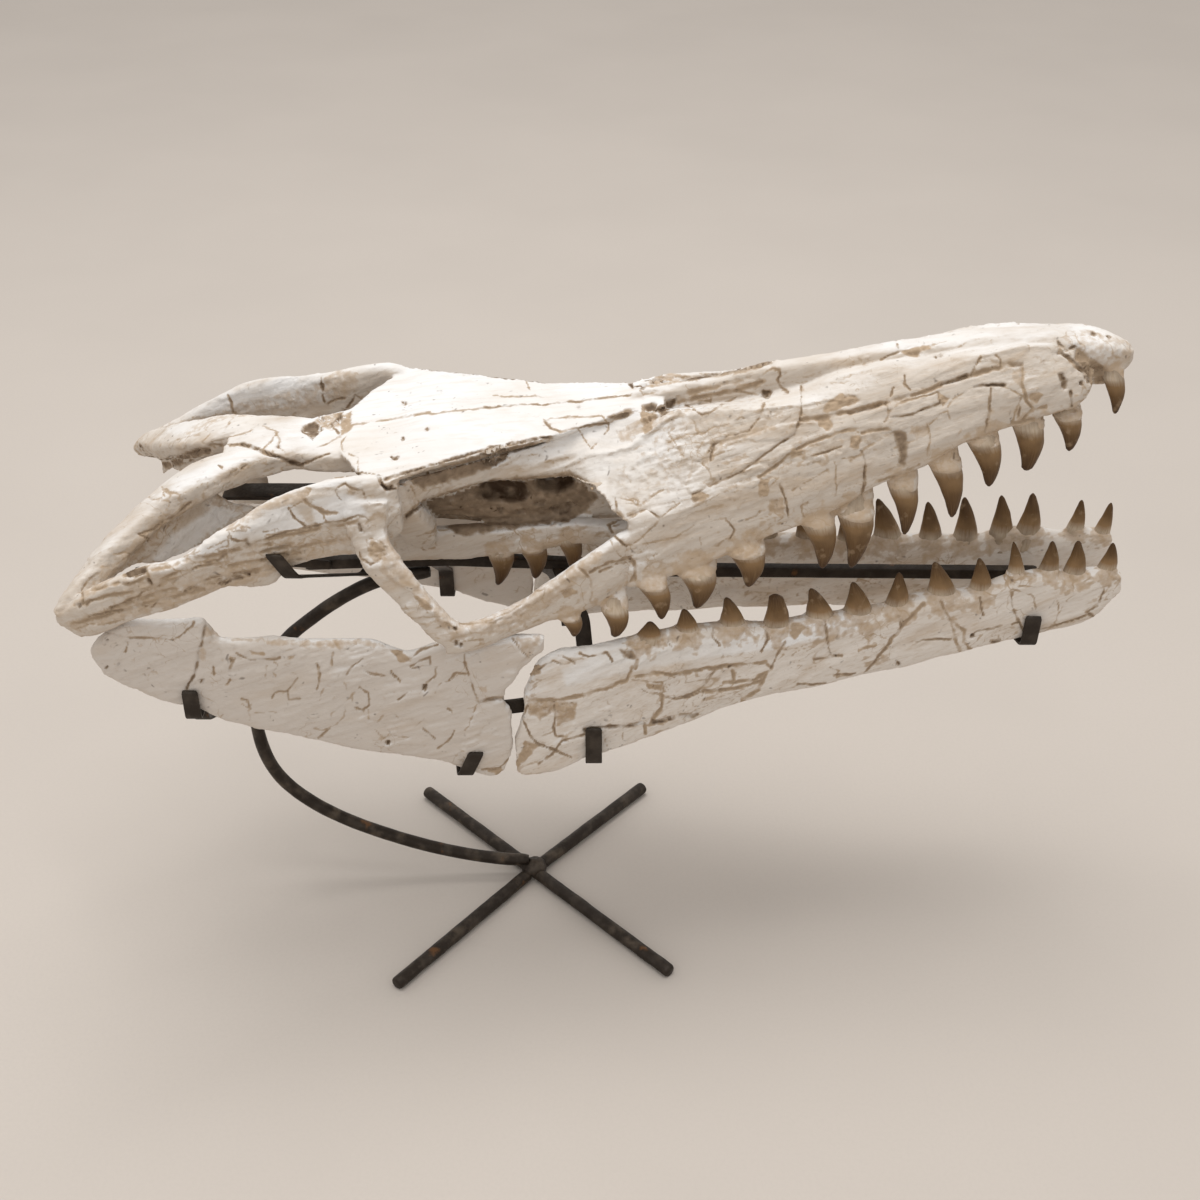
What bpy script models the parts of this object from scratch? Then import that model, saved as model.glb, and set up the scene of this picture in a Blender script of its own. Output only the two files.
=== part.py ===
"""Fossil mosasaur skull held in a bent iron stand, as closed solids in real size.

Run it with blender --background --python part.py, or from Blender's text editor.
Lengths are millimetres in this file and become metres as each mesh is made.
X points to the snout, Y to the animal's left, Z up, and the floor is at zero.
The rows of the bones are for the animal's right side, at negative Y.
"""

import math

import bmesh
import bpy
from mathutils import Vector

MM = 0.001
GAP = 0.3
CLEARANCE = 1.0
BAR_END_GAP = 2.6

# Stand: round bars, the square bar and the flat straps
FOOT_BAR = 14.4
FOOT_SIDES = 16
FOOT_CROSSING = (-74.0, 0.0)
LONG_BAR_ENDS = ((-205.0, 136.0), (73.0, -156.0))
SHORT_ARM_ENDS = {"foot_arm_far": (51.0, 144.0), "foot_arm_near": (-210.0, -174.0)}
WELD_RADIUS = 15.0
WELD_SHAPE = (1.0, 0.9, 0.7)
WELD_HEIGHT = 12.5
POST_RADIUS = 7.0
SPINE_SIDE = 10.8
STRAP_THICK = 3.0
STRAP_WIDE = 16.0
HOOK_STRAP_WIDE = 15.0
CORNER_STRAP_WIDE = 10.0
ROOF_STRAP_WIDE = 28.0
ROOF_STRAP_THICK = 4.0

# Grain of the fused bones, and the share of faces that is kept after it
GRAIN = 2.6
SOFTEN_STEPS = 2
ROW_STEP = 14.0
FACES_KEPT = {
    "cranium": 0.0122,
    "right_dentary": 0.0075,
    "left_dentary": 0.0075,
    "right_rear_jaw": 0.0145,
    "left_rear_jaw": 0.0145,
}

# The left side against the right side
LEFT_DENTARY_FORWARD = 10.0
LEFT_ARCH_LIFT = 8.0
LEFT_WALL_DEEPER = 14.0

# Outline of an upright bone's section as shares of its half thickness and half height
BLADE_SECTION = (
    (0.0, 1.0), (0.72, 0.93), (1.0, 0.62), (1.0, -0.5), (0.82, -0.9),
    (0.0, -1.0), (-0.82, -0.9), (-1.0, -0.5), (-1.0, 0.62), (-0.72, 0.93),
)

# Premaxilla and nasal bar: x, y, top, bottom, thickness
NASAL_BAR = (
    (485, 0, 641, 628, 12), (478, 0, 646, 621, 27), (465, 0, 652, 615, 38),
    (450, 0, 656, 616, 46), (430, 0, 658, 620, 46), (400, 0, 659, 622, 42),
    (350, 0, 655, 618, 36), (300, 0, 648, 612, 30), (250, 0, 641, 603, 25),
    (200, 0, 631, 592, 21), (164, 0, 625, 585, 19), (120, 0, 613, 575, 17),
    (92, 0, 607, 570, 16), (60, 0, 603, 566, 16), (39, 0, 600, 564, 15),
    (18, 0, 589, 562, 14),
)

# Both maxillae with the palate between them: x, roof, then the y and z of the shoulder,
# the cheek and the tooth margin, and the height of the palate
SNOUT = (
    (446, 636, 14, 640, 30, 628, 34, 618, 622),
    (440, 641, 18, 645, 36, 629, 41, 608, 617),
    (428, 646, 21, 650, 41, 626, 46, 599, 612),
    (400, 652, 24, 654, 46, 624, 50, 592, 606),
    (375, 652, 27, 652, 49, 620, 53, 584, 600),
    (335, 648, 33, 645, 55, 610, 60, 574, 590),
    (295, 640, 38, 631, 61, 598, 67, 552, 572),
    (254, 632, 42, 620, 67, 584, 73, 535, 556),
    (215, 622, 46, 613, 73, 570, 80, 512, 536),
    (183, 609, 50, 608, 79, 558, 86, 500, 524),
    (148, 597, 52, 605, 86, 548, 92, 489, 512),
    (115, 588, 49, 602, 92, 539, 98, 476, 498),
    (77, 581, 44, 597, 98, 528, 105, 462, 484),
    (45, 577, 36, 593, 103, 520, 112, 455, 476),
    (26, 574, 30, 589, 106, 514, 116, 452, 472),
)
MARGIN_THICK = 15.0

# Skull roof: x, half width, middle height, edge height
SKULL_ROOF = (
    (-238, 46, 561, 558), (-222, 78, 563, 560), (-205, 103, 565, 562),
    (-190, 117, 567, 564), (-168, 106, 573, 569), (-133, 91, 578, 572),
    (-90, 74, 581, 575), (-45, 56, 584, 579), (0, 40, 588, 587),
    (26, 31, 591, 591), (60, 29, 594, 595),
)
ROOF_THICK = 12.0
ROOF_EDGE_THICK = 6.0

# Wall that hangs from the roof's edge over the orbit: x, then the y and z of its top,
# middle and rim
ORBIT_ROOF = (
    (44, 35, 592, 70, 558, 101, 516), (19, 31, 588, 68, 557, 106, 520),
    (5, 36, 585, 66, 562, 97, 543), (-12, 40, 582, 62, 566, 84, 549),
    (-29, 44, 578, 57, 562, 66, 549), (-60, 54, 572, 60, 557, 62, 541),
    (-100, 67, 567, 69, 552, 68, 538), (-140, 84, 563, 84, 548, 78, 530),
    (-172, 98, 561, 98, 545, 92, 526),
)
WALL_THICK = 8.0

# Maxilla behind the snout and the jugal's lower arm: x, y, top, bottom, thickness
CHEEK_BAR = (
    (48, -99, 500, 462, 12), (25, -104, 508, 452, 17), (1, -114, 498, 436, 19),
    (-20, -121, 485, 432, 19), (-42, -127, 470, 430, 18), (-54, -131, 464, 428, 17),
    (-73, -138, 453, 423, 15), (-100, -150, 445, 417, 14), (-121, -156, 441, 414, 13),
    (-138, -157, 437, 413, 13),
)

# Jugal's rising arm: x, y, z, height, width
JUGAL_ARM = (
    (-122, -156, 424, 22, 13), (-139, -157, 436, 26, 13), (-160, -152, 457, 28, 13),
    (-180, -145, 480, 31, 13), (-197, -136, 501, 34, 14), (-206, -126, 520, 38, 16),
    (-206, -118, 548, 40, 18),
)

# Postorbital and squamosal bar beside the rear opening: x, y, top, bottom, thickness
CHEEK_ARCH = (
    (-178, -107, 562, 512, 16), (-190, -111, 567, 502, 19), (-210, -114, 570, 494, 20),
    (-235, -117, 568, 491, 19), (-263, -124, 563, 489, 17), (-279, -128, 558, 485, 16),
    (-291, -132, 553, 474, 15), (-312, -140, 545, 472, 15), (-330, -146, 538, 477, 15),
    (-344, -151, 531, 475, 15), (-363, -155, 517, 467, 15), (-377, -157, 511, 462, 15),
    (-399, -160, 505, 456, 15), (-424, -160, 494, 447, 16), (-448, -159, 481, 435, 17),
    (-464, -158, 472, 432, 17), (-477, -157, 461, 441, 15), (-485, -157, 454, 446, 9),
)

# Rear arm of the parietal, a rounded bar: x, y, z, height, width
REAR_ARM = (
    (-262, -14, 543, 24, 34), (-292, -22, 541, 24, 32), (-330, -34, 537, 24, 34),
    (-350, -40, 533, 24, 44), (-368, -45, 528, 24, 52), (-401, -64, 513, 24, 44),
    (-430, -94, 495, 24, 38), (-453, -126, 477, 23, 28), (-470, -149, 463, 20, 20),
    (-483, -159, 452, 14, 13),
)

# Thin wall under the outer edge of that arm: x, y, top, bottom, thickness
REAR_WALL = (
    (-326, -28, 489, 474, 6), (-345, -34, 498, 470, 8), (-364, -46, 516, 466, 9),
    (-386, -64, 510, 462, 9), (-408, -86, 498, 464, 9), (-424, -100, 489, 471, 9),
    (-438, -114, 482, 468, 9), (-456, -136, 470, 450, 9),
)

# Parietal table between the rear openings: x, y, top, bottom, thickness
PARIETAL = (
    (-214, 0, 560, 536, 104), (-236, 0, 560, 534, 100), (-258, 0, 556, 531, 88),
    (-282, 0, 553, 529, 72), (-306, 0, 553, 528, 60), (-330, 0, 550, 528, 50),
    (-352, 0, 543, 527, 36),
)

# Inner wall between the orbits: x, y, top, bottom, thickness
INNER_WALL = (
    (-206, 0, 556, 500, 60), (-190, 0, 562, 480, 76), (-140, 0, 568, 472, 82),
    (-90, 0, 572, 470, 82), (-40, 0, 574, 472, 80), (10, 0, 578, 474, 84),
    (40, 0, 580, 480, 90),
)
HOLLOWS = ((-90, -46, 512, 27, 20, 11), (-41, -46, 521, 21, 20, 10))

# Lumps behind the orbit: x, y, z, height, width
REAR_LUMP = (
    (-186, -96, 552, 26, 20), (-180, -90, 528, 26, 22), (-172, -76, 503, 34, 24),
    (-168, -58, 482, 34, 24), (-172, -44, 464, 26, 18),
)

# Pterygoid: x, y, top, bottom, thickness
PTERYGOID = (
    (-214, -50, 462, 446, 9), (-194, -46, 474, 441, 13), (-160, -42, 476, 440, 15),
    (-110, -41, 478, 444, 16), (-70, -42, 481, 450, 17), (-30, -45, 486, 460, 18),
    (10, -52, 488, 468, 18), (40, -60, 490, 470, 18),
)

# Teeth: base x, y and z, tip x and z, width along the jaw
UPPER_TEETH = (
    (466, -18, 619, 473, 584, 20), (424, -36, 590, 431, 555, 25),
    (388, -45, 583, 392, 540, 28), (347, -51, 572, 358, 526, 30),
    (314, -57, 551, 326, 497, 29), (276, -63, 533, 283, 482, 27),
    (234, -71, 509, 235, 451, 34), (199, -78, 502, 207, 454, 31),
    (133, -91, 480, 138, 442, 34), (89, -99, 460, 90, 424, 34),
    (47, -110, 455, 57, 419, 28), (13, -119, 434, 14, 405, 25),
    (-28, -126, 430, -24, 410, 21),
)
PTERYGOID_TEETH = (
    (-95, -42, 449, -98, 413, 26), (-65, -43, 456, -62, 421, 27), (-31, -45, 466, -26, 431, 24),
)
RIGHT_LOWER_TEETH = (
    (487, -36, 424, 488, 456, 20), (456, -38, 420, 454, 459, 24),
    (430, -40, 425, 429, 460, 21), (399, -44, 424, 391, 462, 18),
    (366, -48, 408, 360, 446, 24), (328, -53, 407, 317, 445, 30),
    (284, -59, 397, 283, 437, 25), (247, -66, 393, 239, 431, 30),
    (210, -73, 394, 199, 428, 30), (167, -81, 389, 165, 426, 27),
    (125, -90, 396, 118, 429, 27), (81, -102, 398, 78, 424, 25),
    (44, -111, 396, 46, 416, 26),
)
LEFT_LOWER_TEETH = (
    (500, 35, 422, 506, 456, 18), (474, 37, 426, 477, 458, 19),
    (428, 41, 418, 429, 463, 27), (403, 44, 415, 399, 459, 26),
    (369, 49, 408, 364, 454, 27), (335, 54, 404, 329, 446, 26),
    (293, 60, 403, 280, 446, 31), (256, 67, 395, 248, 431, 28),
    (214, 74, 394, 204, 430, 28), (172, 81, 389, 167, 426, 27),
    (130, 90, 395, 123, 429, 27), (86, 102, 397, 83, 424, 25),
    (49, 111, 395, 50, 415, 26),
)
TOOTH_ROOT = 16.0
TOOTH_ROOT_IN = 6.0
TOOTH_SIDES = 6
TOOTH_FLATNESS = 0.62
TOOTH_TIP_OUT = 3.0
TOOTH_RINGS = ((0.0, 0.8), (0.3, 1.0), (0.7, 0.7))
TOOTH_TIP_SHARE = 0.25

# Front half of the lower jaw: x, y, top, bottom, thickness
DENTARY = (
    (502, -35, 420, 401, 11), (492, -36, 426, 387, 18), (478, -37, 427, 370, 22),
    (450, -39, 424, 362, 24), (424, -41, 427, 355, 25), (392, -45, 424, 348, 25),
    (360, -49, 412, 342, 25), (321, -54, 410, 334, 25), (278, -60, 402, 326, 26),
    (242, -67, 398, 321, 26), (206, -74, 398, 316, 26), (164, -81, 394, 310, 26),
    (122, -91, 399, 303, 26), (79, -102, 402, 291, 26), (28, -115, 400, 278, 24),
    (-6, -123, 395, 271, 22), (-35, -130, 397, 261, 20), (-54, -134, 389, 257, 18),
    (-68, -136, 362, 255, 16), (-74, -137, 322, 255, 14), (-81, -138, 299, 258, 12),
)

# Rear half of the lower jaw, as three lofts that run into each other
REAR_JAW_SLAB = (
    (-461, -153, 413, 406, 8), (-453, -153, 425, 387, 12), (-440, -153, 436, 374, 15),
    (-426, -153, 444, 367, 16), (-398, -153, 444, 352, 18), (-374, -152, 444, 345, 18),
    (-357, -152, 444, 335, 18), (-344, -151, 424, 329, 18), (-299, -150, 422, 316, 18),
    (-255, -149, 420, 302, 18), (-208, -147, 419, 289, 17), (-176, -146, 405, 283, 17),
    (-146, -145, 416, 276, 17), (-124, -144, 417, 268, 16), (-90, -142, 419, 246, 14),
)
REAR_JAW_PRONG = (
    (-112, -143, 418, 340, 15), (-84, -142, 421, 368, 14), (-70, -142, 421, 386, 12),
    (-51, -142, 420, 404, 9),
)
REAR_JAW_HEEL = ((-112, -143, 350, 264, 15), (-92, -142, 345, 266, 14), (-83, -142, 334, 290, 10))
LEFT_REAR_JAW = (
    (-430, 152, 396, 372, 9), (-410, 152, 399, 352, 14), (-372, 152, 396, 330, 17),
    (-344, 151, 394, 312, 18), (-299, 150, 392, 305, 18), (-255, 149, 396, 300, 18),
    (-208, 147, 404, 294, 17), (-167, 146, 410, 288, 17), (-146, 145, 414, 279, 17),
    (-112, 143, 418, 268, 16), (-90, 142, 416, 263, 15), (-74, 141, 400, 266, 12),
)

# Curved post, floor end first: x, z. It lies in the plane of symmetry
POST_PATH = (
    (-79, 22), (-104, 22.8), (-142, 29), (-186, 41), (-231, 58), (-276, 80), (-311, 104),
    (-338, 132), (-353, 162), (-360, 200), (-358, 240), (-343, 284), (-316, 321),
    (-287, 347), (-259, 368), (-227, 386), (-196, 395.5), (-168, 399.3),
)
SPINE_PATH = ((-290, 409.5), (-215, 412.5), (-150, 414.5), (-59, 411), (60, 402), (432, 398.6))


def clear_scene():
    for old in list(bpy.data.objects):
        bpy.data.objects.remove(old, do_unlink=True)


def new_collection(name, hidden=False):
    collection = bpy.data.collections.new(name)
    bpy.context.scene.collection.children.link(collection)
    collection.hide_render = hidden
    return collection


def new_material(name, colour, roughness, metallic):
    material = bpy.data.materials.new(name)
    material.use_nodes = True
    shader = material.node_tree.nodes["Principled BSDF"]
    shader.inputs["Base Color"].default_value = (*colour, 1.0)
    shader.inputs["Roughness"].default_value = roughness
    shader.inputs["Metallic"].default_value = metallic
    material.diffuse_color = (*colour, 1.0)
    return material


def new_object(name, mesh, collection, material):
    made = bpy.data.objects.new(name, mesh)
    collection.objects.link(made)
    made.data.materials.append(material)
    return made


def smooth_rows(rows, step=ROW_STEP):
    """Rows about a step apart, read from the smooth curve that runs through the given rows."""
    places = [0.0]
    for before, after in zip(rows, rows[1:]):
        places.append(places[-1] + max(math.dist(before[:3], after[:3]), 1.0))
    slopes = []
    last = len(rows) - 1
    for i in range(len(rows)):
        low, high = max(i - 1, 0), min(i + 1, last)
        run = places[high] - places[low]
        slopes.append([(b - a) / run for a, b in zip(rows[low], rows[high])])
    found = [tuple(rows[0])]
    for i in range(last):
        run = places[i + 1] - places[i]
        count = max(1, round(run / step))
        for part in range(1, count + 1):
            t = part / count
            weights = (
                2 * t**3 - 3 * t**2 + 1, (t**3 - 2 * t**2 + t) * run,
                3 * t**2 - 2 * t**3, (t**3 - t**2) * run,
            )
            terms = zip(rows[i], slopes[i], rows[i + 1], slopes[i + 1])
            found.append(tuple(sum(w * v for w, v in zip(weights, term)) for term in terms))
    return found


def add_loft(bm, rings):
    """Adds a closed skin over rings of equal length, with one face at each end."""
    made = [[bm.verts.new(Vector(point) * MM) for point in ring] for ring in rings]
    count = len(rings[0])
    faces = [bm.faces.new(made[0]), bm.faces.new(made[-1])]
    for ring, following in zip(made, made[1:]):
        for i in range(count):
            j = (i + 1) % count
            faces.append(bm.faces.new((ring[i], ring[j], following[j], following[i])))
    bmesh.ops.recalc_face_normals(bm, faces=faces)


def blade_rings(rows):
    """Rings across X for an upright bone, from rows of x, y, top, bottom, thickness."""
    rings = []
    for x, y, top, bottom, thick in smooth_rows(rows):
        middle, half = (top + bottom) / 2, (top - bottom) / 2
        rings.append([(x, y + a * thick / 2, middle + b * half) for a, b in BLADE_SECTION])
    return rings


def bar_rings(rows):
    """Rings across its own path for a rounded bar, from rows of x, y, z, height, width."""
    fine = smooth_rows(rows)
    rings = []
    for i, (x, y, z, height, width) in enumerate(fine):
        before, after = fine[max(i - 1, 0)][:3], fine[min(i + 1, len(fine) - 1)][:3]
        along = (Vector(after) - Vector(before)).normalized()
        side = Vector((0, 1, 0)) - along * along.y
        side.normalize()
        over = along.cross(side)
        centre = Vector((x, y, z))
        ring = [
            centre + side * (a * width / 2) + over * (b * height / 2) for a, b in BLADE_SECTION
        ]
        rings.append(ring)
    return rings


def snout_rings():
    """Rings across X for the maxillae and palate, an upside-down U with a thick rim."""
    rings = []
    for x, roof, shoulder, top, cheek, middle, margin, low, palate in smooth_rows(SNOUT):
        inner = margin - MARGIN_THICK
        half = [
            (shoulder * 0.5, max(roof, (roof + top) / 2)), (shoulder, top),
            ((shoulder + cheek) / 2, (top + middle) / 2 + 3), (cheek, middle),
            (margin, (middle + low) / 2), (margin, low + 4), (margin - 5, low),
            (inner, low + 2), (inner - 6, palate),
        ]
        ring = [(x, 0.0, roof)] + [(x, y, z) for y, z in half]
        ring += [(x, 0.0, palate + 3)] + [(x, -y, z) for y, z in reversed(half)]
        rings.append(ring)
    return rings


def roof_rings():
    """Rings across X for the flat skull roof, thinner at its edges."""
    rings = []
    for x, wide, middle, edge in smooth_rows(SKULL_ROOF):
        low = edge - ROOF_EDGE_THICK
        upper = [(x, -wide, edge), (x, -wide / 2, (middle + edge) / 2), (x, 0, middle)]
        upper += [(x, wide / 2, (middle + edge) / 2), (x, wide, edge)]
        lower = [(x, wide - 3, low), (x, wide / 2, low - 2), (x, 0, middle - ROOF_THICK)]
        lower += [(x, -wide / 2, low - 2), (x, -wide + 3, low)]
        rings.append(upper + lower)
    return rings


def orbit_roof_rings():
    """Rings across X for the thin wall over the orbit, on the right side."""
    rings = []
    for x, top_y, top, middle_y, middle, rim_y, rim in smooth_rows(ORBIT_ROOF):
        outer = [(x, -top_y, top - 4), (x, -middle_y, middle), (x, -rim_y, rim)]
        inner = [(x, -rim_y + WALL_THICK, rim + 2), (x, -middle_y + WALL_THICK, middle - 3)]
        inner.append((x, -top_y + WALL_THICK, top - 9))
        rings.append(outer + inner)
    return rings


def add_tooth(bm, row, root_in=0.0):
    """Adds one closed tooth, rooted in the bone and bent towards its tip."""
    x, y, z, tip_x, tip_z, width = row
    base = Vector((x, y, z))
    tip = Vector((tip_x, y + math.copysign(TOOTH_TIP_OUT, y), tip_z))
    reach = tip - base
    root = base - reach.normalized() * TOOTH_ROOT
    root.y -= math.copysign(root_in, y)
    rings = []
    for share, fullness in TOOTH_RINGS:
        centre = root.lerp(tip, share)
        radius = fullness * width / 2
        ring = []
        for k in range(TOOTH_SIDES):
            turn = 2 * math.pi * (k + 0.5) / TOOTH_SIDES
            offset = Vector((math.cos(turn), TOOTH_FLATNESS * math.sin(turn), 0))
            ring.append(centre + offset * radius)
        rings.append(ring)
    rings.append([tip + (point - centre) * TOOTH_TIP_SHARE for point in rings[-1]])
    add_loft(bm, rings)


def mesh_from(bm, name):
    mesh = bpy.data.meshes.new(name)
    bm.to_mesh(mesh)
    bm.free()
    return mesh


def mirror_over_y(bm):
    """Adds the other half of everything in it, mirrored over the plane of symmetry."""
    copied = bmesh.ops.duplicate(bm, geom=bm.verts[:] + bm.edges[:] + bm.faces[:])["geom"]
    verts = [part for part in copied if isinstance(part, bmesh.types.BMVert)]
    faces = [part for part in copied if isinstance(part, bmesh.types.BMFace)]
    for vert in verts:
        vert.co.y = -vert.co.y
    bmesh.ops.reverse_faces(bm, faces=faces)


def add_helper(name, bm, helpers, material):
    helper = new_object(name, mesh_from(bm, name), helpers, material)
    helper.display_type = "WIRE"
    helper.hide_render = True
    return helper


def add_boolean(target, other, operation):
    boolean = target.modifiers.new(f"{operation.lower()}_{other.name}", "BOOLEAN")
    boolean.object = other
    boolean.operation = operation
    boolean.solver = "EXACT"


def grow_bone(name, lofts, collection, material):
    """One solid grown from overlapping lofts, with softened joins and few faces."""
    bm = bmesh.new()
    for rings in lofts:
        add_loft(bm, rings)
    bone = new_object(name, mesh_from(bm, name), collection, material)
    fuse = bone.modifiers.new("fuse", "REMESH")
    fuse.mode = "VOXEL"
    fuse.voxel_size = GRAIN * MM
    fuse.use_smooth_shade = True
    soften = bone.modifiers.new("soften", "SMOOTH")
    soften.factor = 0.5
    soften.iterations = SOFTEN_STEPS
    thin_out = bone.modifiers.new("thin_out", "DECIMATE")
    thin_out.ratio = FACES_KEPT[name]
    return bone


def add_lower_teeth(bone, rows, helpers, material):
    bm = bmesh.new()
    for row in rows:
        add_tooth(bm, row)
    add_boolean(bone, add_helper(f"{bone.name}_teeth", bm, helpers, material), "UNION")


def mirrored_rings(rings):
    return [[(x, -y, z) for x, y, z in ring] for ring in rings]


def lifted_arch():
    """The cheek arch's rows for the left side, which bows a little higher at mid length."""
    first, last = CHEEK_ARCH[0][0], CHEEK_ARCH[-1][0]
    rows = []
    for x, y, top, bottom, thick in CHEEK_ARCH:
        lift = LEFT_ARCH_LIFT * math.sin(math.pi * (x - first) / (last - first))
        rows.append((x, y, top + lift, bottom + lift, thick))
    return rows


def build_cranium(collection, helpers, bone, enamel):
    paired = [
        orbit_roof_rings(), blade_rings(CHEEK_BAR), bar_rings(JUGAL_ARM), bar_rings(REAR_ARM),
        bar_rings(REAR_LUMP), blade_rings(PTERYGOID),
    ]
    left_wall = [
        (x, -y, top, bottom - LEFT_WALL_DEEPER, thick) for x, y, top, bottom, thick in REAR_WALL
    ]
    lofts = [
        blade_rings(NASAL_BAR), snout_rings(), roof_rings(), blade_rings(PARIETAL),
        blade_rings(INNER_WALL), blade_rings(CHEEK_ARCH), blade_rings(REAR_WALL),
        blade_rings(left_wall),
        mirrored_rings(blade_rings(lifted_arch())),
    ]
    lofts += paired + [mirrored_rings(rings) for rings in paired]
    cranium = grow_bone("cranium", lofts, collection, bone)
    bm = bmesh.new()
    for x, y, z, long, deep, high in HOLLOWS:
        made = bmesh.ops.create_icosphere(bm, subdivisions=2, radius=1.0)["verts"]
        bmesh.ops.scale(bm, vec=Vector((long, deep, high)) * MM, verts=made)
        bmesh.ops.translate(bm, vec=Vector((x, y, z)) * MM, verts=made)
    mirror_over_y(bm)
    add_boolean(cranium, add_helper("orbit_hollows", bm, helpers, bone), "DIFFERENCE")
    bm = bmesh.new()
    for row in UPPER_TEETH:
        add_tooth(bm, row, TOOTH_ROOT_IN)
    for row in PTERYGOID_TEETH:
        add_tooth(bm, row)
    mirror_over_y(bm)
    add_boolean(cranium, add_helper("cranium_teeth", bm, helpers, enamel), "UNION")


def build_lower_jaw(collection, helpers, bone, enamel):
    right_dentary = grow_bone("right_dentary", [blade_rings(DENTARY)], collection, bone)
    add_lower_teeth(right_dentary, RIGHT_LOWER_TEETH, helpers, enamel)
    forward = [(x + LEFT_DENTARY_FORWARD, -y, *rest) for x, y, *rest in DENTARY]
    left_dentary = grow_bone("left_dentary", [blade_rings(forward)], collection, bone)
    add_lower_teeth(left_dentary, LEFT_LOWER_TEETH, helpers, enamel)
    right_rear = [REAR_JAW_SLAB, REAR_JAW_PRONG, REAR_JAW_HEEL]
    grow_bone("right_rear_jaw", [blade_rings(rows) for rows in right_rear], collection, bone)
    grow_bone("left_rear_jaw", [blade_rings(LEFT_REAR_JAW)], collection, bone)


def add_bar(bm, start, end, radius, sides=FOOT_SIDES):
    """Adds a round bar between two floor points, resting on one flat side."""
    height = FOOT_BAR / 2 * math.cos(math.pi / FOOT_SIDES)
    start, end = Vector((*start, height)), Vector((*end, height))
    along = (end - start).normalized()
    side = Vector((-along.y, along.x, 0))
    rings = []
    for centre in (start, end):
        ring = []
        for k in range(sides):
            turn = 2 * math.pi * (k + 0.5) / sides
            offset = side * math.cos(turn) + Vector((0, 0, 1)) * math.sin(turn)
            ring.append(centre + offset * radius)
        rings.append(ring)
    add_loft(bm, rings)


def build_foot(collection, helpers, iron):
    """The cross of three round bars, and the weld lump hollowed out round them."""
    radius = FOOT_BAR / 2
    crossing = Vector(FOOT_CROSSING)
    bars = {"foot_bar_long": LONG_BAR_ENDS}
    for name, end in SHORT_ARM_ENDS.items():
        along = (Vector(end) - crossing).normalized()
        bars[name] = (crossing + along * (radius + BAR_END_GAP), Vector(end))
    bm = bmesh.new()
    bmesh.ops.create_icosphere(bm, subdivisions=2, radius=WELD_RADIUS * MM)
    bmesh.ops.scale(bm, vec=WELD_SHAPE, verts=bm.verts)
    place = Vector((*FOOT_CROSSING, WELD_HEIGHT)) * MM
    bmesh.ops.translate(bm, vec=place, verts=bm.verts)
    weld = new_object("foot_weld", mesh_from(bm, "foot_weld"), collection, iron)
    for name, ends in bars.items():
        bm = bmesh.new()
        add_bar(bm, *ends, radius)
        new_object(name, mesh_from(bm, name), collection, iron)
        around = bmesh.new()
        clear = (radius + 2 * GAP) / math.cos(2 * math.pi / FOOT_SIDES)
        add_bar(around, *ends, clear, FOOT_SIDES // 2)
        add_boolean(weld, add_helper(f"{name}_clearance", around, helpers, iron), "DIFFERENCE")
    around = bmesh.new()
    wide = 2 * (POST_RADIUS + CLEARANCE)
    post = [(x, 0.0, z, wide, wide) for x, z in POST_PATH[:3]]
    end_x, end_z = POST_PATH[0]
    post.insert(0, (end_x + CLEARANCE, 0.0, end_z, wide, wide))
    add_loft(around, bar_rings(post))
    add_boolean(weld, add_helper("post_clearance", around, helpers, iron), "DIFFERENCE")


def build_post(collection, iron):
    """Curved post as a round tube on a smooth path."""
    curve = bpy.data.curves.new("curved_post", "CURVE")
    curve.dimensions = "3D"
    curve.bevel_depth = POST_RADIUS * MM
    curve.bevel_resolution = 2
    curve.use_fill_caps = True
    path = smooth_rows([(x, 0.0, z) for x, z in POST_PATH], step=22.0)
    spline = curve.splines.new("POLY")
    spline.points.add(len(path) - 1)
    for point, place in zip(spline.points, path):
        point.co = (*(Vector(place) * MM), 1.0)
    post = bpy.data.objects.new("curved_post", curve)
    collection.objects.link(post)
    curve.materials.append(iron)


def strap_rings(path, width, thick, across):
    """Rectangular rings along a bent path, mitred at its bends."""
    points = [Vector(point) for point in path]
    across = Vector(across)
    rings = []
    for i, point in enumerate(points):
        into = point - points[i - 1] if i else points[1] - point
        out = points[i + 1] - point if i + 1 < len(points) else into
        into, out = into.normalized(), out.normalized()
        along = (into + out).normalized()
        normal = along.cross(across).normalized() * (thick / 2 / max(along.dot(into), 0.5))
        side = across.normalized() * (width / 2)
        ring = [point + side + normal, point - side + normal]
        rings.append(ring + [point - side - normal, point + side - normal])
    return rings


def build_strap(name, path, collection, iron, width=STRAP_WIDE, thick=STRAP_THICK, across=(1, 0, 0)):
    bm = bmesh.new()
    add_loft(bm, strap_rings(path, width, thick, across))
    return new_object(name, mesh_from(bm, name), collection, iron)


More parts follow.
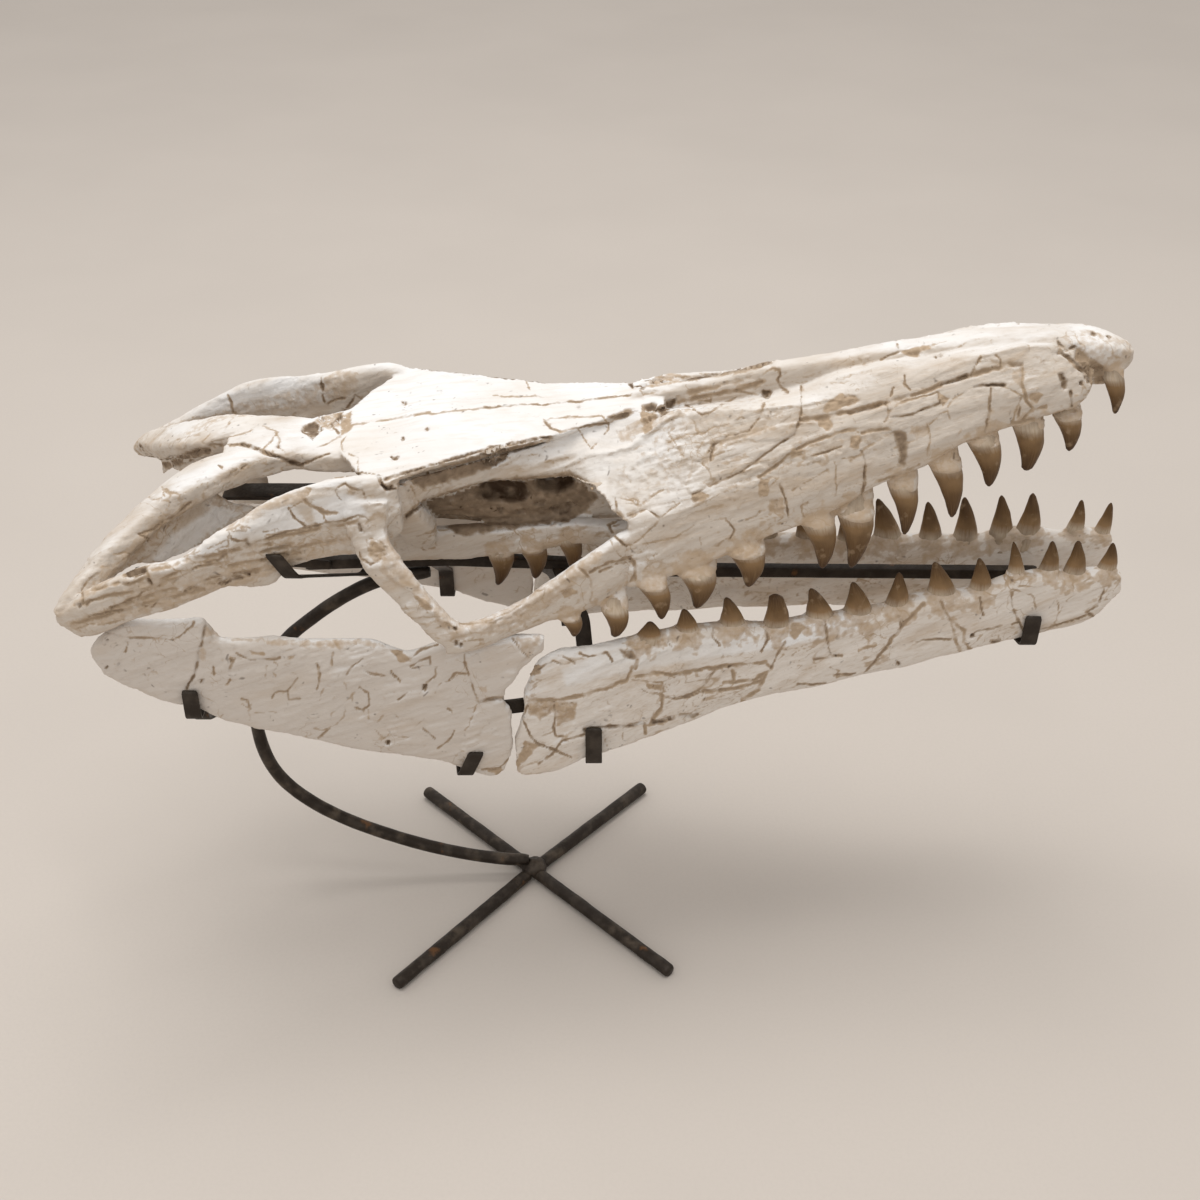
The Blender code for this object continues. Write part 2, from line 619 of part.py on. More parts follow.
def build_straps(collection, iron):
    """Square spine bar and the flat straps that reach the bones from it."""
    spine = [(x, 0, z) for x, z in SPINE_PATH]
    build_strap("spine_bar", spine, collection, iron, SPINE_SIDE, SPINE_SIDE, (0, 1, 0))
    roof = [(-216, 0, 419.8), (-216, 0, 490), (-360, 0, 490)]
    build_strap(
        "roof_strap", roof, collection, iron, ROOF_STRAP_WIDE, ROOF_STRAP_THICK, (0, 1, 0)
    )
    front = [
        (419, -57.5, 384), (418, -57.5, 350), (411, -26, 348.2), (406, -12, 391.4),
        (406, 12, 391.4), (411, 26, 347), (418, 58, 348), (419, 58, 384),
    ]
    build_strap("front_jaw_strap", front, collection, iron)
    claw = [
        (-226, -1, 404.3), (-229, -14, 405.5), (-272, -128, 474.5), (-275, -140, 481),
        (-288, -146, 508),
    ]
    build_strap("claw_right", claw, collection, iron, HOOK_STRAP_WIDE)
    for name, side, end in (("right", -1, (-428, 94, 458)), ("left", 1, (-400, 84, 441))):
        corner = [(x, side * y, z) for x, y, z in ((-264, 8, 412), (-300, 12, 418), end)]
        build_strap(
            f"corner_strap_{name}", corner, collection, iron, CORNER_STRAP_WIDE, across=(0, 0, 1)
        )
    strut = [
        (-40, -7.5, 408), (-18, -40, 372), (-8, -104, 300), (-6, -108, 266.2),
        (-6, -137, 266.2), (-6, -139, 311),
    ]
    build_strap("strut_right", strut, collection, iron)
    strut = [
        (-68, 7.5, 408), (-46, 40, 372), (-36, 112, 300), (-34, 117, 255),
        (-34, 144, 255), (-34, 145, 298),
    ]
    build_strap("strut_left", strut, collection, iron)
    link = [(-30, -113, 328), (-79, -126, 328), (-112, -129, 326)]
    build_strap("jaw_link_right", link, collection, iron, across=(0, 0, 1))
    hook = [(-124, -131.5, 336), (-132, -133, 265.4), (-129, -154.5, 265.4), (-117, -154.5, 294)]
    build_strap("front_hook_right", hook, collection, iron, HOOK_STRAP_WIDE)
    hook = [
        (-356, -8.5, 258), (-376, -139, 322), (-376, -141, 340), (-376, -164, 340),
        (-376, -164, 373),
    ]
    build_strap("rear_hook_right", hook, collection, iron, HOOK_STRAP_WIDE)
    hook = [(-167, 7, 408), (-167, 134, 318), (-167, 135, 282), (-167, 157, 282), (-167, 158, 308)]
    build_strap("left_jaw_hook", hook, collection, iron)


def centre_on_floor():
    """Moves every part so that the whole object's box is centred over the origin."""
    graph = bpy.context.evaluated_depsgraph_get()
    corners = []
    for part in bpy.data.objects:
        if not part.hide_render:
            evaluated = part.evaluated_get(graph)
            corners += [vert.co.copy() for vert in evaluated.to_mesh().vertices]
            evaluated.to_mesh_clear()
    shift_x = (min(c.x for c in corners) + max(c.x for c in corners)) / 2
    shift_y = (min(c.y for c in corners) + max(c.y for c in corners)) / 2
    for part in bpy.data.objects:
        part.location = (-shift_x, -shift_y, 0.0)


def main():
    clear_scene()
    skull = new_collection("mosasaur_skull")
    helpers = new_collection("helpers", hidden=True)
    bone = new_material("fossil_bone", (0.74, 0.68, 0.58), 0.8, 0.0)
    enamel = new_material("tooth_enamel", (0.22, 0.15, 0.09), 0.45, 0.0)
    iron = new_material("dark_iron", (0.05, 0.043, 0.036), 0.55, 0.6)
    build_cranium(skull, helpers, bone, enamel)
    build_lower_jaw(skull, helpers, bone, enamel)
    build_foot(skull, helpers, iron)
    build_post(skull, iron)
    build_straps(skull, iron)
    centre_on_floor()


main()
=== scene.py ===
"""Looks of a fossil mosasaur skull on a bent iron stand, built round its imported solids.

Rows of numbers are millimetres in the frame of the bones' own drawing: X points to the snout,
Y to the animal's left, Z up, and the floor is at zero. Meshes are made in metres and moved by
the model's own shift. Marks on the bones are drawn as they are seen from the photographed side,
on a square of 1200 by 1200, and the animal's left side takes them as in a mirror.
"""

import logging
import math
from dataclasses import dataclass, field
from enum import Enum

import bmesh
import bpy
import numpy as np
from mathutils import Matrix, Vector

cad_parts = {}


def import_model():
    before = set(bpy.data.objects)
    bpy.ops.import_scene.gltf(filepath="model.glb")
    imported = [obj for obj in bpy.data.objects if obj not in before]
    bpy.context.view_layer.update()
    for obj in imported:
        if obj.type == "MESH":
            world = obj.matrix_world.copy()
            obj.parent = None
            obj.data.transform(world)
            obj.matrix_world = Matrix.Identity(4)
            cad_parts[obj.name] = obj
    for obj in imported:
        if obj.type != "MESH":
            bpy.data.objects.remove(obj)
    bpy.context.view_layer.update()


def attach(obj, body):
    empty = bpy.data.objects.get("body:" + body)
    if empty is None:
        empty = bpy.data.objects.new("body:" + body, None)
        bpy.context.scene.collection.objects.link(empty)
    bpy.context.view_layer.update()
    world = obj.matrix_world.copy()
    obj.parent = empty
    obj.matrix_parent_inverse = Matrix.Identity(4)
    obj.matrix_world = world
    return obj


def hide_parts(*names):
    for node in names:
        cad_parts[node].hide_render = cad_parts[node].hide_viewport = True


MM = 0.001
SHIFT = (-12.033, 5.122, 0.0)
BODY = "root"
Row = tuple
Ring = list
Socket = bpy.types.NodeSocket
Material = bpy.types.Material
Piece = bpy.types.Object

logging.basicConfig(level=logging.INFO, format="%(message)s")
log = logging.getLogger("skull")


class Slot(Enum):
    """Material slots of the record."""

    BONE = "fossil_bone"
    TOOTH = "tooth_enamel"
    IRON = "dark_iron"


class Side(Enum):
    """Side of the animal, as the sign of Y."""

    RIGHT = -1
    LEFT = 1


@dataclass(frozen=True)
class Sight:
    """The view that marks are drawn in: a level camera that looks down at the middle of the skull."""

    target: tuple = (0.0, 0.0, 366.0)
    distance: float = 1667.0
    tilt: float = math.radians(33.0)
    lens: float = 50.0
    film: float = 36.0
    wide: float = 1200.0

    def see(self, points: np.ndarray) -> tuple:
        """Places in the picture of points in drawing millimetres.

        Args:
            points: One row of x, y and z for each point.

        Returns:
            The place across, the place down and the distance from the camera's plane.
        """
        low, high = math.sin(self.tilt), math.cos(self.tilt)
        x = points[:, 0] - self.target[0]
        y = points[:, 1] - self.target[1]
        z = points[:, 2] - self.target[2]
        away = self.distance + high * y - low * z
        scale = self.lens / self.film * self.wide / away
        half = self.wide / 2
        return half + scale * x, half - scale * (low * y + high * z), away

    def place(self) -> Vector:
        """The camera's place in drawing millimetres."""
        back = self.distance * math.cos(self.tilt)
        return Vector(self.target) + Vector((0.0, -back, self.distance * math.sin(self.tilt)))


SIGHT = Sight()


class Grain:
    """Smooth random fields, the same on each run."""

    KEYS = np.array([73856093, 19349663, 83492791], dtype=np.int64)

    @classmethod
    def values(cls, points: np.ndarray, size: tuple, seed: int) -> np.ndarray:
        """Random values from -1 to 1 that change over the given lengths.

        Args:
            points: One row of x, y and z for each point.
            size: Length of one change along x, y and z.
            seed: Number of the field.

        Returns:
            One value for each point.
        """
        spot = points / np.array(size)
        cell = np.floor(spot).astype(np.int64)
        part = spot - cell
        part = part * part * (3 - 2 * part)
        total = np.zeros(len(points))
        for corner in range(8):
            step = np.array([corner & 1, corner >> 1 & 1, corner >> 2 & 1])
            key = (cell + step) @ cls.KEYS + seed * 9176
            key = (key ^ (key >> 13)) * 1274126177
            key = ((key ^ (key >> 16)) * 668265263) >> 9 & 0xFFFF
            weight = np.prod(np.where(step == 1, part, 1 - part), axis=1)
            total += (key / 32767.5 - 1) * weight
        return total

    @classmethod
    def fractal(cls, points: np.ndarray, size: tuple, seed: int, octaves: int = 3) -> np.ndarray:
        """Sum of finer and finer fields, each half as strong as the one before.

        Args:
            points: One row of x, y and z for each point.
            size: Length of one change of the broadest field.
            seed: Number of the field.
            octaves: How many fields are added.

        Returns:
            One value for each point.
        """
        size = np.array(size, dtype=float)
        total, strength = np.zeros(len(points)), 1.0
        for octave in range(octaves):
            total += strength * cls.values(points, tuple(size / 2**octave), seed + 17 * octave)
            strength /= 2
        return total


def ramp(values: np.ndarray, low: float, high: float) -> np.ndarray:
    """Smooth rise from 0 at low to 1 at high, or the other way round when low is the larger."""
    t = np.clip((values - low) / (high - low), 0.0, 1.0)
    return t * t * (3 - 2 * t)


BLADE = (
    (0.0, 1.0), (0.38, 0.98), (0.72, 0.9), (0.93, 0.75), (1.0, 0.5), (1.0, 0.0), (1.0, -0.5),
    (0.92, -0.76), (0.7, -0.93), (0.35, -0.99), (0.0, -1.0), (-0.35, -0.99), (-0.7, -0.93),
    (-0.92, -0.76), (-1.0, -0.5), (-1.0, 0.0), (-1.0, 0.5), (-0.93, 0.75), (-0.72, 0.9), (-0.38, 0.98),
)


class Lofts:
    """Rings of points for the shapes that bones are grown from."""

    @staticmethod
    def smooth_rows(rows: tuple, step: float = 9.0) -> list:
        """Rows about a step apart, read from the smooth curve that runs through the given rows.

        Args:
            rows: Rows of sizes that start with three places.
            step: Distance between the new rows.

        Returns:
            The new rows.
        """
        places = [0.0]
        for before, after in zip(rows, rows[1:]):
            places.append(places[-1] + max(math.dist(before[:3], after[:3]), 1.0))
        slopes = []
        last = len(rows) - 1
        for i in range(len(rows)):
            low, high = max(i - 1, 0), min(i + 1, last)
            run = places[high] - places[low]
            slopes.append([(b - a) / run for a, b in zip(rows[low], rows[high])])
        found = [tuple(rows[0])]
        for i in range(last):
            run = places[i + 1] - places[i]
            count = max(1, round(run / step))
            for part in range(1, count + 1):
                t = part / count
                weights = (
                    2 * t**3 - 3 * t**2 + 1, (t**3 - 2 * t**2 + t) * run,
                    3 * t**2 - 2 * t**3, (t**3 - t**2) * run,
                )
                terms = zip(rows[i], slopes[i], rows[i + 1], slopes[i + 1])
                found.append(tuple(sum(w * v for w, v in zip(weights, term)) for term in terms))
        return found

    @classmethod
    def blade(cls, rows: tuple) -> list:
        """Rings across X for an upright bone, from rows of x, y, top, bottom, thickness.

        Args:
            rows: The bone's rows.

        Returns:
            Its rings.
        """
        rings = []
        for x, y, top, bottom, thick in cls.smooth_rows(rows):
            middle, half = (top + bottom) / 2, (top - bottom) / 2
            rings.append([(x, y + a * thick / 2, middle + b * half) for a, b in BLADE])
        return rings

    @classmethod
    def bar(cls, rows: tuple) -> list:
        """Rings across its own path for a rounded bar, from rows of x, y, z, height, width.

        Args:
            rows: The bar's rows.

        Returns:
            Its rings.
        """
        fine = cls.smooth_rows(rows)
        rings = []
        for i, (x, y, z, height, width) in enumerate(fine):
            before, after = fine[max(i - 1, 0)][:3], fine[min(i + 1, len(fine) - 1)][:3]
            along = (Vector(after) - Vector(before)).normalized()
            side = (Vector((0, 1, 0)) - along * along.y).normalized()
            over = along.cross(side)
            centre = Vector((x, y, z))
            rings.append(
                [tuple(centre + side * (a * width / 2) + over * (b * height / 2)) for a, b in BLADE]
            )
        return rings

    @staticmethod
    def mirrored(rings: list) -> list:
        """The same rings on the animal's other side."""
        return [[(x, -y, z) for x, y, z in ring] for ring in rings]

    @staticmethod
    def skin(bm: bmesh.types.BMesh, rings: list) -> list:
        """Adds a closed skin over rings of equal length, with one face at each end.

        Args:
            bm: Mesh that takes the skin, in drawing millimetres.
            rings: Rings of points.

        Returns:
            The new points, ring by ring.
        """
        made = [[bm.verts.new(point) for point in ring] for ring in rings]
        count = len(rings[0])
        faces = [bm.faces.new(made[0]), bm.faces.new(made[-1])]
        for ring, following in zip(made, made[1:]):
            for i in range(count):
                j = (i + 1) % count
                faces.append(bm.faces.new((ring[i], ring[j], following[j], following[i])))
        bmesh.ops.recalc_face_normals(bm, faces=faces)
        return made


class MeshWork:
    """Steps that every mesh of the skull goes through."""

    @staticmethod
    def points(mesh: bpy.types.Mesh, what: str = "co") -> np.ndarray:
        """Places or normals of a mesh's points, one row each.

        Args:
            mesh: The mesh.
            what: co for places, normal for normals.

        Returns:
            One row of three numbers for each point.
        """
        found = np.zeros(len(mesh.vertices) * 3, dtype=np.float32)
        mesh.vertices.foreach_get(what, found)
        return found.reshape(-1, 3).astype(float)

    @staticmethod
    def set_points(mesh: bpy.types.Mesh, places: np.ndarray) -> None:
        """Moves a mesh's points to the given places."""
        mesh.vertices.foreach_set("co", places.astype(np.float32).ravel())
        mesh.update()

    @staticmethod
    def set_value(mesh: bpy.types.Mesh, name: str, values: np.ndarray) -> None:
        """Keeps one number for each point, for the material to read."""
        kept = mesh.attributes.new(name, "FLOAT", "POINT")
        kept.data.foreach_set("value", values.astype(np.float32))

    @staticmethod
    def placed(name: str, bm: bmesh.types.BMesh) -> Piece:
        """Object in the scene that takes what was drawn, which is then let go.

        Args:
            name: Name of the object and of its mesh.
            bm: What was drawn.

        Returns:
            The object.
        """
        mesh = bpy.data.meshes.new(name)
        bm.to_mesh(mesh)
        bm.free()
        piece = bpy.data.objects.new(name, mesh)
        bpy.context.scene.collection.objects.link(piece)
        return piece

    @staticmethod
    def applied(piece: Piece) -> None:
        """Turns a piece's modifiers into its mesh.

        Args:
            piece: The piece.
        """
        graph = bpy.context.evaluated_depsgraph_get()
        made = bpy.data.meshes.new_from_object(piece.evaluated_get(graph))
        old = piece.data
        piece.modifiers.clear()
        piece.data = made
        bpy.data.meshes.remove(old)

    @staticmethod
    def hollowness(mesh: bpy.types.Mesh, blurs: int = 2) -> np.ndarray:
        """How far each point lies below its neighbours, as a share of their distance.

        Args:
            mesh: The mesh.
            blurs: How often the values are evened out.

        Returns:
            One value for each point.
        """
        ends = np.zeros(len(mesh.edges) * 2, dtype=np.int32)
        mesh.edges.foreach_get("vertices", ends)
        ends = ends.reshape(-1, 2)
        places = MeshWork.points(mesh)
        normals = MeshWork.points(mesh, "normal")
        count = np.bincount(ends.ravel(), minlength=len(places)).clip(1)
        mean = np.zeros_like(places)
        for axis in range(3):
            mean[:, axis] = np.bincount(ends[:, 0], places[ends[:, 1], axis], len(places))
            mean[:, axis] += np.bincount(ends[:, 1], places[ends[:, 0], axis], len(places))
        mean /= count[:, None]
        far = np.linalg.norm(places[ends[:, 0]] - places[ends[:, 1]], axis=1)
        length = np.bincount(ends[:, 0], far, len(places)) + np.bincount(ends[:, 1], far, len(places))
        found = ((mean - places) * normals).sum(axis=1) / (length / count).clip(1e-9)
        for _ in range(blurs):
            near = np.bincount(ends[:, 0], found[ends[:, 1]], len(places))
            near += np.bincount(ends[:, 1], found[ends[:, 0]], len(places))
            found = 0.5 * found + 0.5 * near / count
        return found

    @staticmethod
    def finish(piece: Piece, slot: Slot, nodes: tuple, material: Material) -> None:
        """Moves a finished piece into the model's frame and says what it is.

        Args:
            piece: Piece whose mesh is in drawing millimetres.
            slot: Material slot that it takes its finish from; not used.
            nodes: Solids that it stands for.
            material: Its material.
        """
        places = (MeshWork.points(piece.data) + np.array(SHIFT)) * MM
        MeshWork.set_points(piece.data, places)
        piece.data.materials.clear()
        piece.data.materials.append(material)
        piece.data.shade_smooth()
        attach(piece, BODY)
        if nodes:
            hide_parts(*nodes)
        triangles = sum(len(face.vertices) - 2 for face in piece.data.polygons)
        log.info("%s: %d triangles", piece.name, triangles)


@dataclass(frozen=True)
class Stroke:
    """Look of a line: half width, depth, and shares of tan filler and of dark, near-black brown that in
    gaps is painted shade.
    """

    wide: float
    deep: float
    tan: float
    dark: float


@dataclass(frozen=True)
class Spread:
    """Look of an area: lift, extra roughness, shares of tan and dark (near-black brown and painted shade),
    width of its edge, and pale, a share of painted light that takes away the painted side shade and the
    tan.
    """

    lift: float
    rough: float
    tan: float
    dark: float
    edge: float = 3.0
    # Painted light: how far the area takes away the painted side shade and the tan.
    painted_light: float = 0.0


class Line(Enum):
    """Kinds of line on the bone."""

    HAIR = Stroke(1.2, 0.55, 0.7, 0.25)
    CRACK = Stroke(1.45, 1.2, 0.95, 0.6)
    SEAM = Stroke(2.1, 1.6, 1.1, 0.34)
    # Its dark share is painted shade in the gap's depth.
    GAP = Stroke(2.3, 3.2, 0.8, 0.9)
    RIDGE = Stroke(3.6, -1.3, 0.0, 0.0)
    GROOVE = Stroke(3.2, 2.6, 0.8, 0.3)
    LAYER = Stroke(2.4, 1.9, 0.85, 0.3)
    SWELL = Stroke(7.0, -2.2, 0.0, 0.0)


class Area(Enum):
    """Kinds of area on the bone."""

    FILLER = Spread(-0.6, 1.5, 0.85, 0.12)
    PANEL = Spread(1.5, -0.4, 0.0, 0.0)
    # Its dark share is painted shade in the hole's depth, over brown matrix.
    HOLE = Spread(-4.5, 0.5, 1.0, 0.68, 2.4)
    # Brown stain; inside the orbit it also paints shade.
    STAIN_AND_SHADE = Spread(-1.4, 0.8, 0.85, 0.55, 5.0)
    # Tan tint; on the maxilla's sides it also paints shade.
    TINT = Spread(-0.2, 0.3, 0.42, 0.02, 7.0)
    SPONGE = Spread(-0.5, 1.8, 0.6, 0.05, 4.0)
    # Worn, rougher bone; on the maxilla's sides its tan and dark also paint shade.
    WORN = Spread(-0.3, 0.5, 0.2, 0.03, 9.0)
    # Painted light: lifts areas that lie in shade to the bare pale bone colour.
    PAINTED_LIGHT = Spread(0.0, -0.2, 0.0, 0.0, 6.0, 0.9)
    # Tan, with painted light that takes away most of the painted side shade.
    CREAM = Spread(0.0, 0.2, 0.75, 0.0, 8.0, 0.6)
    # Its dark share is painted shade in the recess, over tan matrix.
    HOLLOW = Spread(-3.2, 1.2, 0.9, 0.3, 6.0)


def drawn(text: str) -> list:
    """Lines or outlines that are written as x,y pairs, with a stroke between two of them.

    Args:
        text: The written lines.

    Returns:
        The places of each line, in order.
    """
    return [
        tuple(tuple(float(part) for part in pair.split(",")) for pair in one.split())
        for one in text.split("/")
    ]


@dataclass
class Surface:
    """What the marks and grain do at each point of a bone."""

    lift: np.ndarray
    tan: np.ndarray
    # Near-black brown in cracks, and painted shade in holes, gaps and hollows.
    dark: np.ndarray
    # Painted shade: share of darker, warmer colour on faces that turn away from above.
    side: np.ndarray
    hidden: np.ndarray


@dataclass
class WeatheringAndShade:
    """Cracks, seams, patches and grain of one bone, with painted shade on faces that turn away from above
    and in its holes, gaps and hollows.
    """

    marks: dict = field(default_factory=dict)
    patches: dict = field(default_factory=dict)
    mirror: bool = True
    grain_size: tuple = (30.0, 3.4, 3.4)
    grain_slant: float = 0.33
    grain_lift: float = 0.5
    lump_lift: float = 0.9
    flake_size: tuple = (64.0, 17.0, 17.0)
    flake_lift: float = 0.75
    flake_tan: float = 0.55
    wander: float = 1.0
    strength: float = 1.0
    seed: int = 1
    cover: float = 9.0
    cell: float = 3.0
    cells: int = 1000
    fine_size: tuple = (5.0, 4.0, 4.0)
    fine_lift: float = 0.28
    patch_size: tuple = (38.0, 30.0, 30.0)
    lump_size: tuple = (42.0, 26.0, 26.0)
    wander_size: tuple = (9.0, 9.0, 9.0)
    break_size: tuple = (11.0, 8.0, 8.0)
    flake_steps: float = 2.3

    def seen(self, x: np.ndarray, y: np.ndarray, away: np.ndarray) -> np.ndarray:
        """Share of each point that nothing nearer hides in the picture.

        Args:
            x: Places across the picture.
            y: Places down the picture.
            away: Distances from the camera's plane.

        Returns:
            A share from 0 to 1 for each point.
        """
        column = (x / self.cell).astype(int).clip(0, self.cells - 1)
        row = (y / self.cell).astype(int).clip(0, self.cells - 1)
        key = column * self.cells + row
        nearest = np.full(self.cells * self.cells, np.inf)
        np.minimum.at(nearest, key, away)
        return ramp(away - nearest[key], self.cover * 1.6, self.cover * 0.8)

    @staticmethod
    def line_distance(x: np.ndarray, y: np.ndarray, path: tuple) -> np.ndarray:
        """Distance of each point from a line of straight stretches in the picture.

        Args:
            x: Places across the picture.
            y: Places down the picture.
            path: Corners of the line.

        Returns:
            One distance for each point.
        """
        best = np.full(len(x), 1e6)
        for (ax, ay), (bx, by) in zip(path, path[1:]):
            dx, dy = bx - ax, by - ay
            t = np.clip(((x - ax) * dx + (y - ay) * dy) / max(dx * dx + dy * dy, 1e-9), 0, 1)
            best = np.minimum(best, np.hypot(x - ax - t * dx, y - ay - t * dy))
        return best

    @staticmethod
    def inside(x: np.ndarray, y: np.ndarray, outline: tuple) -> np.ndarray:
        """Whether each point lies inside an outline in the picture.

        Args:
            x: Places across the picture.
            y: Places down the picture.
            outline: Corners of the outline.

        Returns:
            True for each point inside.
        """
        found = np.zeros(len(x), dtype=bool)
        for (ax, ay), (bx, by) in zip(outline, outline[1:] + outline[:1]):
            crosses = (ay > y) != (by > y)
            if ay != by:
                found ^= crosses & (x < (bx - ax) * (y - ay) / (by - ay) + ax)
        return found

    def work(self, points: np.ndarray, normals: np.ndarray) -> Surface:
        """Reads marks, patches and grain at each point.

        Args:
            points: Places in drawing millimetres.
            normals: Directions out of the bone.

        Returns:
            The lift along the normal in millimetres, and the shares of tan filler, of dark (near-black
            brown in cracks, painted shade in holes, gaps and hollows) and of side (painted shade with the
            bone's warmer tan on faces that turn away from above).
        """
        count = len(points)
        slanted = points.copy()
        slanted[:, 2] -= self.grain_slant * points[:, 0]
        fine = Grain.fractal(points, self.fine_size, self.seed + 9, 3)
        patchy = Grain.fractal(points, self.patch_size, self.seed + 21, 2)
        lift = self.lump_lift * Grain.fractal(points, self.lump_size, self.seed, 2)
        rough = self.grain_lift * ramp(patchy, -0.7, 0.9)
        lift += rough * Grain.fractal(slanted, self.grain_size, self.seed + 5, 3)
        lift += self.fine_lift * fine * ramp(patchy, -0.9, 0.5)
        # Painted shade: side grows as a face turns away from above, and stays low over the middle of the
        # roof, which paints that span light.
        painted_lit_roof = ramp(np.abs(points[:, 0] + 90.0), 210.0, 120.0)
        side = ramp(normals[:, 2] + 0.22 * patchy - 0.42 * (1 - painted_lit_roof), 0.8, 0.1)
        level = self.flake_steps * Grain.fractal(slanted, self.flake_size, self.seed + 31, 3)
        part = level - np.floor(level)
        layered = 0.25 + 0.75 * side
        lift += self.flake_lift * layered * (np.floor(level) + ramp(part, 0.38, 0.62))
        step = ramp(np.abs(part - 0.5), 0.17, 0.03) * layered * ramp(patchy, -0.6, 0.5)
        found = Surface(lift, self.flake_tan * step, 0.2 * self.flake_tan * step, side, np.ones(count))
        wobble = self.wander * Grain.fractal(points, self.wander_size, self.seed + 11, 3)
        wobble_down = self.wander * Grain.fractal(points, self.wander_size, self.seed + 12, 3)
        broken = ramp(Grain.fractal(points, self.break_size, self.seed + 13, 2), -0.8, 0.35)
        broken = self.strength * (0.3 + 0.7 * broken)
        left = np.ones(count)
        for way in (1.0, -1.0) if self.mirror else (1.0,):
            turn = np.array([1.0, way, 1.0])
            here, out = points * turn, normals * turn
            x, y, away = SIGHT.see(here)
            to_eye = np.array(SIGHT.place()) - here
            to_eye /= np.linalg.norm(to_eye, axis=1)[:, None]
            share = left * ramp((out * to_eye).sum(axis=1), 0.0, 0.2) * self.seen(x, y, away)
            left = left * (1 - share)
            found.hidden = left
            kept = np.flatnonzero(share > 0.01)
            x, y = x[kept] + wobble[kept], y[kept] + wobble_down[kept]
            self.draw(found, kept, x, y, share, fine, broken)
        return found

    def draw(
        self, found: Surface, kept: np.ndarray, x: np.ndarray, y: np.ndarray,
        share: np.ndarray, fine: np.ndarray, broken: np.ndarray,
    ) -> None:
        """Draws the patches and marks on the points that the view shows.

        Args:
            found: Surface that takes them.
            kept: Numbers of the points in view.
            x: Their places across the picture.
            y: Their places down the picture.
            share: How far each point of the bone is in view.
            fine: Fine grain at each point of the bone.
            broken: How strong a line is at each point of the bone.
        """
        for kind, text in self.patches.items():
            look = kind.value
            for outline in drawn(text):
                near = np.flatnonzero(self.box(x, y, outline, look.edge))
                where, px, py = kept[near], x[near], y[near]
                gap = self.line_distance(px, py, outline + outline[:1])
                held = np.where(self.inside(px, py, outline), gap, -gap)
                held = ramp(held + 0.9 * fine[where], -look.edge / 2, look.edge / 2) * share[where]
                found.lift[where] += held * (look.lift + look.rough * fine[where])
                mottled = held * (1 + 0.3 * fine[where])
                found.tan[where] = np.maximum(found.tan[where], mottled * look.tan)
                found.dark[where] = np.maximum(found.dark[where], mottled * look.dark)
                # Painted light: the pale share takes away the painted side shade and the tan.
                found.side[where] *= 1 - look.painted_light * held
                found.tan[where] *= 1 - look.painted_light * held
        for kind, text in self.marks.items():
            look = kind.value
            for path in drawn(text):
                near = np.flatnonzero(self.box(x, y, path, 3 * look.wide))
                where = kept[near]
                gap = self.line_distance(x[near], y[near], path)
                gap = gap * (1 + 0.35 * fine[where])
                near_share = share[where] * broken[where]
                held = ramp(gap, look.wide, look.wide * 0.15) * near_share
                halo = ramp(gap, look.wide * 1.35, look.wide * 0.3) * near_share
                found.lift[where] -= held * look.deep
                found.tan[where] = np.maximum(found.tan[where], halo * look.tan)
                found.dark[where] = np.maximum(found.dark[where], held * look.dark)

    @staticmethod
    def box(x: np.ndarray, y: np.ndarray, path: tuple, margin: float) -> np.ndarray:
        """Points that lie in the box round a line, with a margin.

        Args:
            x: Places across the picture.
            y: Places down the picture.
            path: Corners of the line.
            margin: How far outside still counts.

        Returns:
            True for each point in the box.
        """
        across, down = [p[0] for p in path], [p[1] for p in path]
        near = (x > min(across) - margin) & (x < max(across) + margin)
        return near & (y > min(down) - margin) & (y < max(down) + margin)


